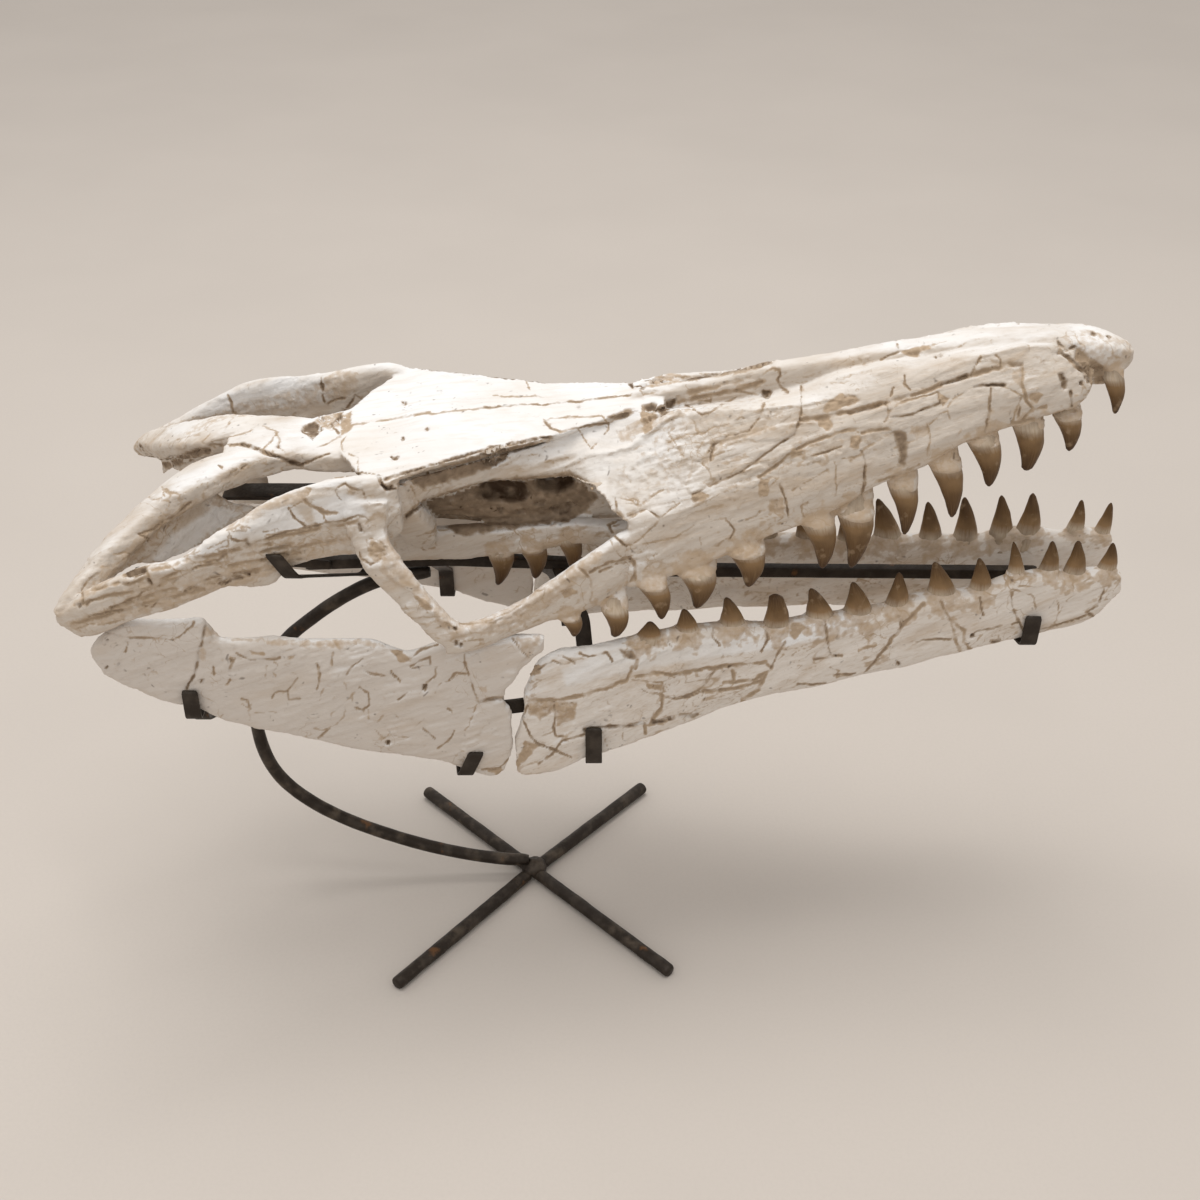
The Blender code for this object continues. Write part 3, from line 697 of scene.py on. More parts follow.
@dataclass
class Bone:
    """One bone, or bones grown together, from overlapping lofts."""

    name: str
    lofts: list
    weathering_and_shade: WeatheringAndShade
    nodes: tuple
    voxel: float = 1.5
    triangles: int = 150000
    cuts: list = field(default_factory=list)
    sockets: list = field(default_factory=list)
    halves: bool = False
    soften: int = 4
    unseen_thinning: float = 0.02
    socket_share: float = 0.55
    socket_ragged: float = 0.35
    hollow_depth: float = 0.8
    hollow_ragged: float = 0.6

    def build(self, material: Material) -> None:
        """Grows the bone, weathers it and dresses it.

        Args:
            material: Material of the finished bone.
        """
        bm = bmesh.new()
        for rings in self.lofts:
            Lofts.skin(bm, rings)
        piece = MeshWork.placed(self.name, bm)
        fuse = piece.modifiers.new("fuse", "REMESH")
        fuse.mode = "VOXEL"
        fuse.voxel_size = self.voxel
        soften = piece.modifiers.new("soften", "SMOOTH")
        soften.factor = 0.5
        soften.iterations = self.soften
        MeshWork.applied(piece)
        points = MeshWork.points(piece.data)
        normals = MeshWork.points(piece.data, "normal")
        worn = self.weathering_and_shade.work(points, normals)
        lift = worn.lift + self.hollow_lift(points)
        MeshWork.set_points(piece.data, points + normals * lift[:, None])
        faces = sum(len(face.vertices) - 2 for face in piece.data.polygons)
        if faces > self.triangles:
            group = piece.vertex_groups.new(name="thin")
            group.add(range(len(points)), 0.4, "REPLACE")
            group.add(np.flatnonzero(worn.hidden > 0.9).tolist(), 1.0, "REPLACE")
            thin = piece.modifiers.new("thin", "DECIMATE")
            thin.ratio = self.triangles / faces
            thin.vertex_group = "thin"
            thin.vertex_group_factor = self.unseen_thinning
            MeshWork.applied(piece)
        points = MeshWork.points(piece.data)
        found = self.weathering_and_shade.work(points, MeshWork.points(piece.data, "normal"))
        MeshWork.set_value(piece.data, "tan", np.maximum(found.tan, self.socket_tan(points)))
        # Painted shade in the round hollows, with the marks' dark share.
        MeshWork.set_value(piece.data, "dark", np.maximum(found.dark, self.painted_hollow_shade(points)))
        # Painted shade on faces that turn away from above.
        MeshWork.set_value(piece.data, "side", found.side)
        # Painted shade in crevices: the material turns sunken places tan, along with the real tan filler.
        MeshWork.set_value(piece.data, "hollow", MeshWork.hollowness(piece.data))
        pieces = self.parted(piece) if self.halves else [piece]
        for made in pieces:
            MeshWork.finish(made, Slot.BONE, self.nodes, material)

    def parted(self, piece: Piece) -> list:
        """Two closed halves of a bone that has too many faces for one mesh.

        Args:
            piece: The whole bone, in drawing millimetres; it is taken away.

        Returns:
            The rear half and the front half.
        """
        middles = np.zeros(len(piece.data.polygons) * 3, dtype=np.float32)
        piece.data.polygons.foreach_get("center", middles)
        cut = float(np.median(middles.reshape(-1, 3)[:, 0]))
        halves = []
        for part, way in (("rear", 1.0), ("front", -1.0)):
            bm = bmesh.new()
            bm.from_mesh(piece.data)
            everything = bm.verts[:] + bm.edges[:] + bm.faces[:]
            bmesh.ops.bisect_plane(
                bm, geom=everything, plane_co=(cut, 0, 0), plane_no=(way, 0, 0), clear_outer=True,
            )
            rim = [edge for edge in bm.edges if edge.is_boundary]
            bmesh.ops.holes_fill(bm, edges=rim, sides=0)
            for edge in rim:
                edge.smooth = False
            halves.append(MeshWork.placed(f"{self.name}_{part}", bm))
        whole = piece.data
        bpy.data.objects.remove(piece)
        bpy.data.meshes.remove(whole)
        return halves

    def socket_tan(self, points: np.ndarray) -> np.ndarray:
        """Tan filler in patches round the roots of the teeth.

        Args:
            points: Places in drawing millimetres.

        Returns:
            The share of tan at each point.
        """
        tan = np.zeros(len(points))
        ragged = self.socket_ragged * Grain.fractal(points, (7.0, 7.0, 7.0), 55, 3)
        for x, y, z, width in self.sockets:
            gap = np.sqrt(((points - (x, y, z)) ** 2).sum(axis=1)) / width
            tan = np.maximum(tan, self.socket_share * ramp(gap + ragged, 0.98, 0.5))
        return tan

    def hollow_lift(self, points: np.ndarray) -> np.ndarray:
        """Depth of the round hollows, as a lift below zero.

        Args:
            points: Places in drawing millimetres.

        Returns:
            The lift of each point in millimetres.
        """
        lift = np.zeros(len(points))
        for x, y, z, long, deep, high in self.cuts:
            near = ((points - (x, y, z)) / (long, deep, high)) ** 2
            lift -= self.hollow_depth * deep * ramp(near.sum(axis=1), 1.3, 0.2)
        return lift

    def painted_hollow_shade(self, points: np.ndarray) -> np.ndarray:
        """Painted shade, over brown matrix, in and round the round hollows.

        Args:
            points: Places in drawing millimetres.

        Returns:
            The share of dark at each point.
        """
        dark = np.zeros(len(points))
        ragged = self.hollow_ragged * Grain.fractal(points, (12.0, 12.0, 9.0), 77, 3)
        for x, y, z, long, deep, high in self.cuts:
            near = ((points - (x, y, z)) / (long * 1.1, deep * 2.2, high * 1.1)) ** 2
            dark = np.maximum(dark, ramp(near.sum(axis=1) + ragged, 1.6, 0.4))
        return dark


@dataclass
class Teeth:
    """A row of teeth: x, y and z of each base, x and z of its tip, and its width along the jaw.

    A collar's rows are place along the tooth, radius as a share of its width, flatness and shift
    to the middle of the head.
    """

    name: str
    rows: tuple
    flatness: float = 0.8
    slim: float = 0.96
    collar: tuple = (
        (-0.8, 0.34, 0.35, 0.34), (-0.52, 0.46, 0.42, 0.28), (-0.27, 0.53, 0.52, 0.19),
        (-0.08, 0.54, 0.72, 0.06), (0.03, 0.51, 0.82, 0.0), (0.08, 0.46, 0.8, 0.0),
    )
    tip_out: float = 3.0
    bow: float = 0.12
    root: float = 0.35
    tuck: float = 0.75
    narrowing: float = 1.0
    pale_base: float = 0.0
    blunt: dict = field(default_factory=dict)
    around: int = 28
    along: int = 22
    collar_sides: int = 16
    taper: tuple = (1.28, 0.88)
    last_ring: float = 0.55
    thinnest: float = 0.6
    stripe_run: float = 0.35
    ripple: float = 0.16
    uneven: float = 0.35

    def line(self, row: Row) -> tuple:
        """Base, tip and width of one tooth.

        Args:
            row: The tooth.

        Returns:
            The base, the tip and the width.
        """
        x, y, z, tip_x, tip_z, width = row
        base = Vector((x, y, z))
        return base, Vector((tip_x, y + math.copysign(self.tip_out, y), tip_z)), width

    def centre(self, row: Row, share: float) -> Vector:
        """Point on a tooth's bent middle line, from 0 at its base to 1 at its tip.

        Args:
            row: The tooth.
            share: Place along it.

        Returns:
            The point.
        """
        base, tip, width = self.line(row)
        bow = self.bow * width * math.sin(math.pi * max(share, 0.0))
        return base.lerp(tip, share) + Vector((bow, 0.0, 0.0))

    def ring(
        self, row: Row, share: float, radius: float, sides: int, flat: float, inward: float = 0.0,
    ) -> Ring:
        """Ring of points round a tooth's middle line.

        Args:
            row: The tooth.
            share: Place along it, from 0 at its base to 1 at its tip.
            radius: Radius along the jaw.
            sides: Number of points.
            flat: Radius across the jaw, as a share of the radius along it.
            inward: How far the ring is moved to the middle of the head.

        Returns:
            The points.
        """
        middle = self.centre(row, share) - Vector((0.0, math.copysign(inward, row[1]), 0.0))
        ring = []
        for k in range(sides):
            turn = 2 * math.pi * k / sides
            edge = 1 + 0.06 * abs(math.cos(turn)) ** 10
            across = Vector((math.cos(turn), flat * math.sin(turn), 0.0))
            ring.append(tuple(middle + across * (radius * edge)))
        return ring

    def collars(self) -> list:
        """Bone that flares round each root, for the jaw to be grown from.

        Returns:
            Rings for each tooth.
        """
        lofts = []
        for row in self.rows:
            width = row[5]
            lofts.append([
                self.ring(row, share, fat * width, self.collar_sides, flat, inward * width)
                for share, fat, flat, inward in self.collar
            ])
        return lofts

    def build(self, material: Material) -> None:
        """Makes the teeth as one piece.

        Args:
            material: Enamel that reads how far along the crown a point lies.
        """
        bm = bmesh.new()
        crown, stripe = [], []
        for number, row in enumerate(self.rows):
            blunt = self.blunt.get(number, 0.1)
            rings = []
            for step in range(self.along + 1):
                share = -self.root + (1 + self.root) * step / self.along
                up = max(share, 0.0) * (1 - blunt)
                radius = self.slim * row[5] / 2 * (1 - up ** self.taper[0]) ** self.taper[1]
                radius *= min(1.0, 1 + self.narrowing * share)
                if step == self.along:
                    radius *= self.last_ring
                inward = self.tuck * row[5] * max(-share, 0.0)
                radius = max(radius, self.thinnest)
                rings.append(self.ring(row, share, radius, self.around, self.flatness, inward))
                crown += [share - self.pale_base] * self.around
                for k in range(self.around):
                    turn = 2 * math.pi * k / self.around
                    stripe.append((math.cos(turn) + 9 * number, math.sin(turn), share * self.stripe_run))
            Lofts.skin(bm, rings)
        piece = MeshWork.placed(self.name, bm)
        mesh = piece.data
        points = MeshWork.points(mesh)
        normals = MeshWork.points(mesh, "normal")
        stripe_points = np.array(stripe)
        lift = self.ripple * Grain.fractal(stripe_points, (0.16, 0.16, 0.2), 3, 2)
        lift += self.uneven * Grain.fractal(points, (9.0, 9.0, 9.0), 4, 2)
        MeshWork.set_points(mesh, points + normals * lift[:, None])
        MeshWork.set_value(mesh, "crown", np.array(crown))
        kept = mesh.attributes.new("stripe", "FLOAT_VECTOR", "POINT")
        kept.data.foreach_set("vector", stripe_points.astype(np.float32).ravel())
        MeshWork.finish(piece, Slot.TOOTH, (), material)


class Nodes:
    """Short way to lay out a material's nodes."""

    def __init__(self, name: str) -> None:
        """Starts an empty material of that name.

        Args:
            name: Name of the material.
        """
        self.material = bpy.data.materials.new(name)
        self.material.use_nodes = True
        self.tree = self.material.node_tree
        self.shader = self.tree.nodes["Principled BSDF"]

    def new(self, kind: str, inputs: dict, **settings) -> bpy.types.Node:
        """Adds a node.

        Args:
            kind: Blender's name for the node.
            inputs: Values or sockets for its inputs.
            settings: Its settings.

        Returns:
            The node.
        """
        node = self.tree.nodes.new(kind)
        for key, value in settings.items():
            setattr(node, key, value)
        for key, value in inputs.items():
            self.feed(node.inputs[key], value)
        return node

    def feed(self, socket: Socket, value: object) -> None:
        """Links a socket to an input, or sets its value.

        Args:
            socket: Socket of the node.
            value: Value or socket.
        """
        if isinstance(value, Socket):
            self.tree.links.new(value, socket)
        else:
            socket.default_value = value

    def spot(self) -> Socket:
        """Place on the object."""
        return self.new("ShaderNodeTexCoord", {}).outputs["Object"]

    def stretched(self, where: Socket, stretch: tuple) -> Socket:
        """A place multiplied along each axis."""
        inputs = {0: where, 1: stretch}
        return self.new("ShaderNodeVectorMath", inputs, operation="MULTIPLY").outputs[0]

    def kept(self, name: str, output: str = "Fac") -> Socket:
        """Number or vector that the mesh keeps for each point."""
        return self.new("ShaderNodeAttribute", {}, attribute_name=name).outputs[output]

    def noise(self, where: Socket, scale: float, detail: float = 4.0) -> Socket:
        """Cloudy random value from 0 to 1."""
        node = self.new("ShaderNodeTexNoise", {"Vector": where, "Scale": scale, "Detail": detail})
        return node.outputs["Fac"]

    def steps(self, value: Socket, *stops: tuple) -> Socket:
        """Colour ramp through (place, colour or grey) stops.

        Args:
            value: Number from 0 to 1.
            stops: Places with their colours.

        Returns:
            The colour.
        """
        node = self.new("ShaderNodeValToRGB", {"Fac": value})
        band = node.color_ramp
        while len(band.elements) < len(stops):
            band.elements.new(0.5)
        for element, (place, colour) in zip(band.elements, stops):
            element.position = place
            rgb = colour if isinstance(colour, tuple) else (colour,) * 3
            element.color = (*rgb, 1.0)
        return node.outputs["Color"]

    def mix(self, share: object, first: object, second: object, way: str = "MIX") -> Socket:
        """Mix of two colours.

        Args:
            share: Share of the second colour.
            first: Colour.
            second: Colour.
            way: Kind of mix.

        Returns:
            The colour.
        """
        node = self.new("ShaderNodeMix", {}, data_type="RGBA", blend_type=way)
        for number, value in ((0, share), (6, first), (7, second)):
            self.feed(node.inputs[number], (*value, 1.0) if isinstance(value, tuple) else value)
        return node.outputs[2]

    def calc(self, first: object, second: object, way: str = "ADD") -> Socket:
        """Sum of two numbers, or what way says instead, kept from 0 to 1."""
        inputs = {0: first, 1: second}
        return self.new("ShaderNodeMath", inputs, operation=way, use_clamp=True).outputs[0]

    def times(self, first: object, second: object) -> Socket:
        """Product of two numbers, kept from 0 to 1."""
        return self.calc(first, second, "MULTIPLY")

    def cells(self, where: Socket, scale: float, kind: str) -> Socket:
        """Distance in a pattern of cells, to their edges or to their middles."""
        inputs = {"Vector": where, "Scale": scale}
        return self.new("ShaderNodeTexVoronoi", inputs, feature=kind).outputs["Distance"]

    def bump(self, height: object, strength: float, depth: float) -> Socket:
        """Small relief from a height, depth in metres."""
        node = self.new("ShaderNodeBump", {"Height": height, "Strength": strength, "Distance": depth})
        return node.outputs["Normal"]


@dataclass(frozen=True)
class BoneFinish:
    """Dry pale fossil bone with tan filler in its seams, brown matrix with painted shade in its hollows and
    crevices, and painted shade on faces that turn away from above.
    """

    painted_light: tuple = (0.79, 0.785, 0.78)
    cream: tuple = (0.70, 0.645, 0.58)
    # Painted shade: colour of faces that turn away from above, darker and warmer than the lit top.
    painted_side_shade: tuple = (0.70, 0.645, 0.585)
    filler: tuple = (0.47, 0.35, 0.235)
    # Near-black brown of crack cores, also used as painted shade in holes, gaps and hollows.
    hollow: tuple = (0.062, 0.033, 0.015)
    crack_size: float = 17.0
    crazing: float = 3.1
    pit_size: float = 130.0
    cloud_size: float = 9.0
    speckle_size: float = 170.0
    slant: float = math.radians(18.0)
    streak_stretch: tuple = (22.0, 150.0, 150.0)
    stain_stretch: tuple = (11.0, 48.0, 48.0)
    bend_size: float = 26.0
    bend_reach: float = 0.055
    stained: float = 0.42
    threaded: float = 0.26
    shine: float = 0.35
    relief: float = 0.75
    relief_depth: float = 0.002

    def material(self, name: str) -> Material:
        """Lays out the material's nodes.

        Args:
            name: Name of the material.

        Returns:
            The material.
        """
        n = Nodes(name)
        where = n.spot()
        slanted = n.new(
            "ShaderNodeVectorRotate", {"Vector": where, "Angle": self.slant}, rotation_type="Y_AXIS",
        ).outputs[0]
        stretched = n.stretched(slanted, self.streak_stretch)
        streaks = n.noise(stretched, 1.0, 5.0)
        fibres = n.noise(stretched, 3.4, 3.0)
        clouds = n.noise(where, self.cloud_size, 4.0)
        speckle = n.noise(where, self.speckle_size, 3.0)
        colour = n.mix(n.steps(clouds, (0.42, 0.0), (0.72, 0.75)), self.painted_light, self.cream)
        colour = n.mix(n.steps(streaks, (0.5, 0.0), (0.72, 0.38)), colour, self.cream)
        # The kept side share is painted shade: it mixes in the darker side colour, and threads, stains and
        # cracks grow stronger where it is high.
        threads = n.times(n.steps(fibres, (0.5, 0.0), (0.68, self.threaded)), n.kept("side"))
        side = n.calc(n.kept("side"), n.times(n.calc(streaks, 0.5, "SUBTRACT"), 0.6))
        colour = n.mix(side, colour, self.painted_side_shade)
        long_spots = n.stretched(slanted, self.stain_stretch)
        stain = n.steps(n.noise(long_spots, 1.0, 6.0), (0.5, 0.0), (0.66, self.stained))
        stain = n.times(stain, n.steps(n.kept("side"), (0.0, 0.2), (0.8, 1.0)))
        colour = n.mix(n.calc(stain, threads), colour, self.filler)
        bend = n.new("ShaderNodeTexNoise", {"Vector": where, "Scale": self.bend_size, "Detail": 3.0})
        bent = n.new(
            "ShaderNodeVectorMath", {0: bend.outputs["Color"], 1: (self.bend_reach,) * 3, 2: where},
            operation="MULTIPLY_ADD",
        ).outputs[0]
        cells = n.cells(bent, self.crack_size, "DISTANCE_TO_EDGE")
        patchy = n.steps(n.noise(where, 13.0, 3.0), (0.53, 0.0), (0.64, 1.0))
        line = n.steps(cells, (0.0, 1.0), (0.022, 0.0))
        crack = n.times(line, patchy)
        small = n.cells(bent, self.crazing * self.crack_size, "DISTANCE_TO_EDGE")
        thin = n.steps(small, (0.0, 0.8), (0.03, 0.0))
        crazed = n.steps(n.noise(where, 20.0, 3.0), (0.52, 0.0), (0.62, 1.0))
        crack = n.calc(crack, n.times(thin, crazed))
        crack = n.times(crack, n.steps(n.kept("side"), (0.1, 0.25), (0.7, 0.8)))
        pits = n.cells(bent, self.pit_size, "F1")
        few = n.steps(n.noise(where, 60.0, 2.0), (0.58, 0.0), (0.66, 1.0))
        pit = n.times(n.steps(pits, (0.12, 1.0), (0.3, 0.0)), few)
        # Painted shade in crevices: the kept hollow share, how far a point lies below its neighbours, turns
        # sunken places tan.
        low = n.steps(n.kept("hollow"), (0.05, 0.0), (0.5, 0.8))
        ragged = n.steps(speckle, (0.3, 0.0), (0.75, 1.0))
        tan = n.calc(n.kept("tan"), n.calc(low, n.times(crack, 0.6)))
        tan = n.calc(tan, n.times(ragged, 0.35), "SUBTRACT")
        colour = n.mix(n.steps(tan, (0.06, 0.0), (0.2, 0.45), (0.55, 0.95)), colour, self.filler)
        lighter = n.times(n.calc(ragged, 0.5, "SUBTRACT"), 0.3)
        # The kept dark share: near-black brown in cracks and pits, painted shade in holes, gaps and
        # hollows.
        dark = n.calc(n.kept("dark"), lighter, "SUBTRACT")
        dark = n.calc(dark, n.times(pit, 0.55))
        dark = n.calc(dark, n.times(crack, 0.12))
        colour = n.mix(dark, colour, self.hollow)
        n.feed(n.shader.inputs["Base Color"], colour)
        n.feed(n.shader.inputs["Roughness"], n.steps(clouds, (0.3, 0.62), (0.7, 0.85)))
        n.shader.inputs["Specular IOR Level"].default_value = self.shine
        height = n.calc(n.times(streaks, 0.45), n.times(speckle, 0.3))
        height = n.calc(height, n.times(fibres, 0.25))
        height = n.calc(height, n.times(low, 0.3), "SUBTRACT")
        n.feed(n.shader.inputs["Normal"], n.bump(height, self.relief, self.relief_depth))
        return n.material


@dataclass(frozen=True)
class EnamelFinish:
    """Brown striped enamel that darkens to the tip, over a pale root."""

    root: tuple = (0.5, 0.41, 0.31)
    base: tuple = (0.262, 0.163, 0.08)
    middle: tuple = (0.142, 0.08, 0.033)
    tip: tuple = (0.058, 0.029, 0.012)
    fleck: tuple = (0.34, 0.24, 0.145)
    root_stain: tuple = (0.36, 0.28, 0.19)
    shine: float = 0.19
    relief: float = 0.5
    relief_depth: float = 0.0012

    def material(self, name: str) -> Material:
        """Lays out the material's nodes.

        Args:
            name: Name of the material.

        Returns:
            The material.
        """
        n = Nodes(name)
        where = n.spot()
        stripe = n.kept("stripe", "Vector")
        lines = n.noise(stripe, 7.0, 6.0)
        ragged = n.noise(where, 120.0, 3.0)
        crown = n.kept("crown")
        along = n.calc(crown, n.times(n.calc(lines, 0.5, "SUBTRACT"), 0.2))
        colour = n.steps(
            along, (0.0, self.root), (0.2, self.base), (0.5, self.middle), (0.92, self.tip)
        )
        colour = n.mix(n.steps(lines, (0.45, 0.0), (0.75, 0.42)), colour, self.base)
        mottle = n.steps(n.noise(where, 60.0, 6.0), (0.32, 0.4), (0.6, 0.0))
        colour = n.mix(mottle, colour, self.tip)
        flecks = n.steps(n.noise(where, 90.0, 5.0), (0.6, 0.0), (0.7, 0.55))
        colour = n.mix(flecks, colour, self.fleck)
        line = n.calc(crown, n.times(ragged, 0.2), "SUBTRACT")
        edge = n.steps(n.calc(line, 0.17), (0.10, 0.0), (0.15, 1.0))
        bone = n.mix(n.steps(ragged, (0.4, 0.0), (0.7, 0.6)), self.root, self.root_stain)
        colour = n.mix(edge, bone, colour)
        n.feed(n.shader.inputs["Base Color"], colour)
        n.feed(n.shader.inputs["Roughness"], n.steps(lines, (0.3, 0.36), (0.8, 0.55)))
        n.shader.inputs["Specular IOR Level"].default_value = self.shine
        height = n.calc(n.times(lines, 0.8), n.times(edge, 0.2))
        n.feed(n.shader.inputs["Normal"], n.bump(height, self.relief, self.relief_depth))
        return n.material


@dataclass(frozen=True)
class IronFinish:
    """Dark bar iron with a worn grey-brown skin and a few rust marks."""

    dark: tuple = (0.026, 0.018, 0.012)
    worn: tuple = (0.105, 0.077, 0.051)
    rust: tuple = (0.17, 0.075, 0.025)
    wear: float = 0.6
    relief: float = 0.45
    relief_depth: float = 0.0012

    def material(self, name: str) -> Material:
        """Lays out the material's nodes.

        Args:
            name: Name of the material.

        Returns:
            The material.
        """
        n = Nodes(name)
        where = n.spot()
        scale = n.noise(where, 70.0, 7.0)
        broad = n.noise(where, 24.0, 4.0)
        fine = n.noise(where, 420.0, 4.0)
        patches = n.steps(scale, (0.46, 0.0), (0.64, 1.0))
        rubbed = n.times(patches, n.steps(broad, (0.4, 0.2), (0.6, 1.0)))
        colour = n.mix(n.times(rubbed, self.wear), self.dark, self.worn)
        rusty = n.steps(n.noise(where, 46.0, 6.0), (0.66, 0.0), (0.74, 0.7))
        colour = n.mix(rusty, colour, self.rust)
        n.feed(n.shader.inputs["Base Color"], colour)
        n.feed(n.shader.inputs["Metallic"], n.steps(scale, (0.4, 0.55), (0.7, 0.25)))
        n.feed(n.shader.inputs["Roughness"], n.steps(fine, (0.3, 0.42), (0.7, 0.62)))
        height = n.calc(n.times(scale, 0.6), n.times(fine, 0.4))
        n.feed(n.shader.inputs["Normal"], n.bump(height, self.relief, self.relief_depth))
        return n.material


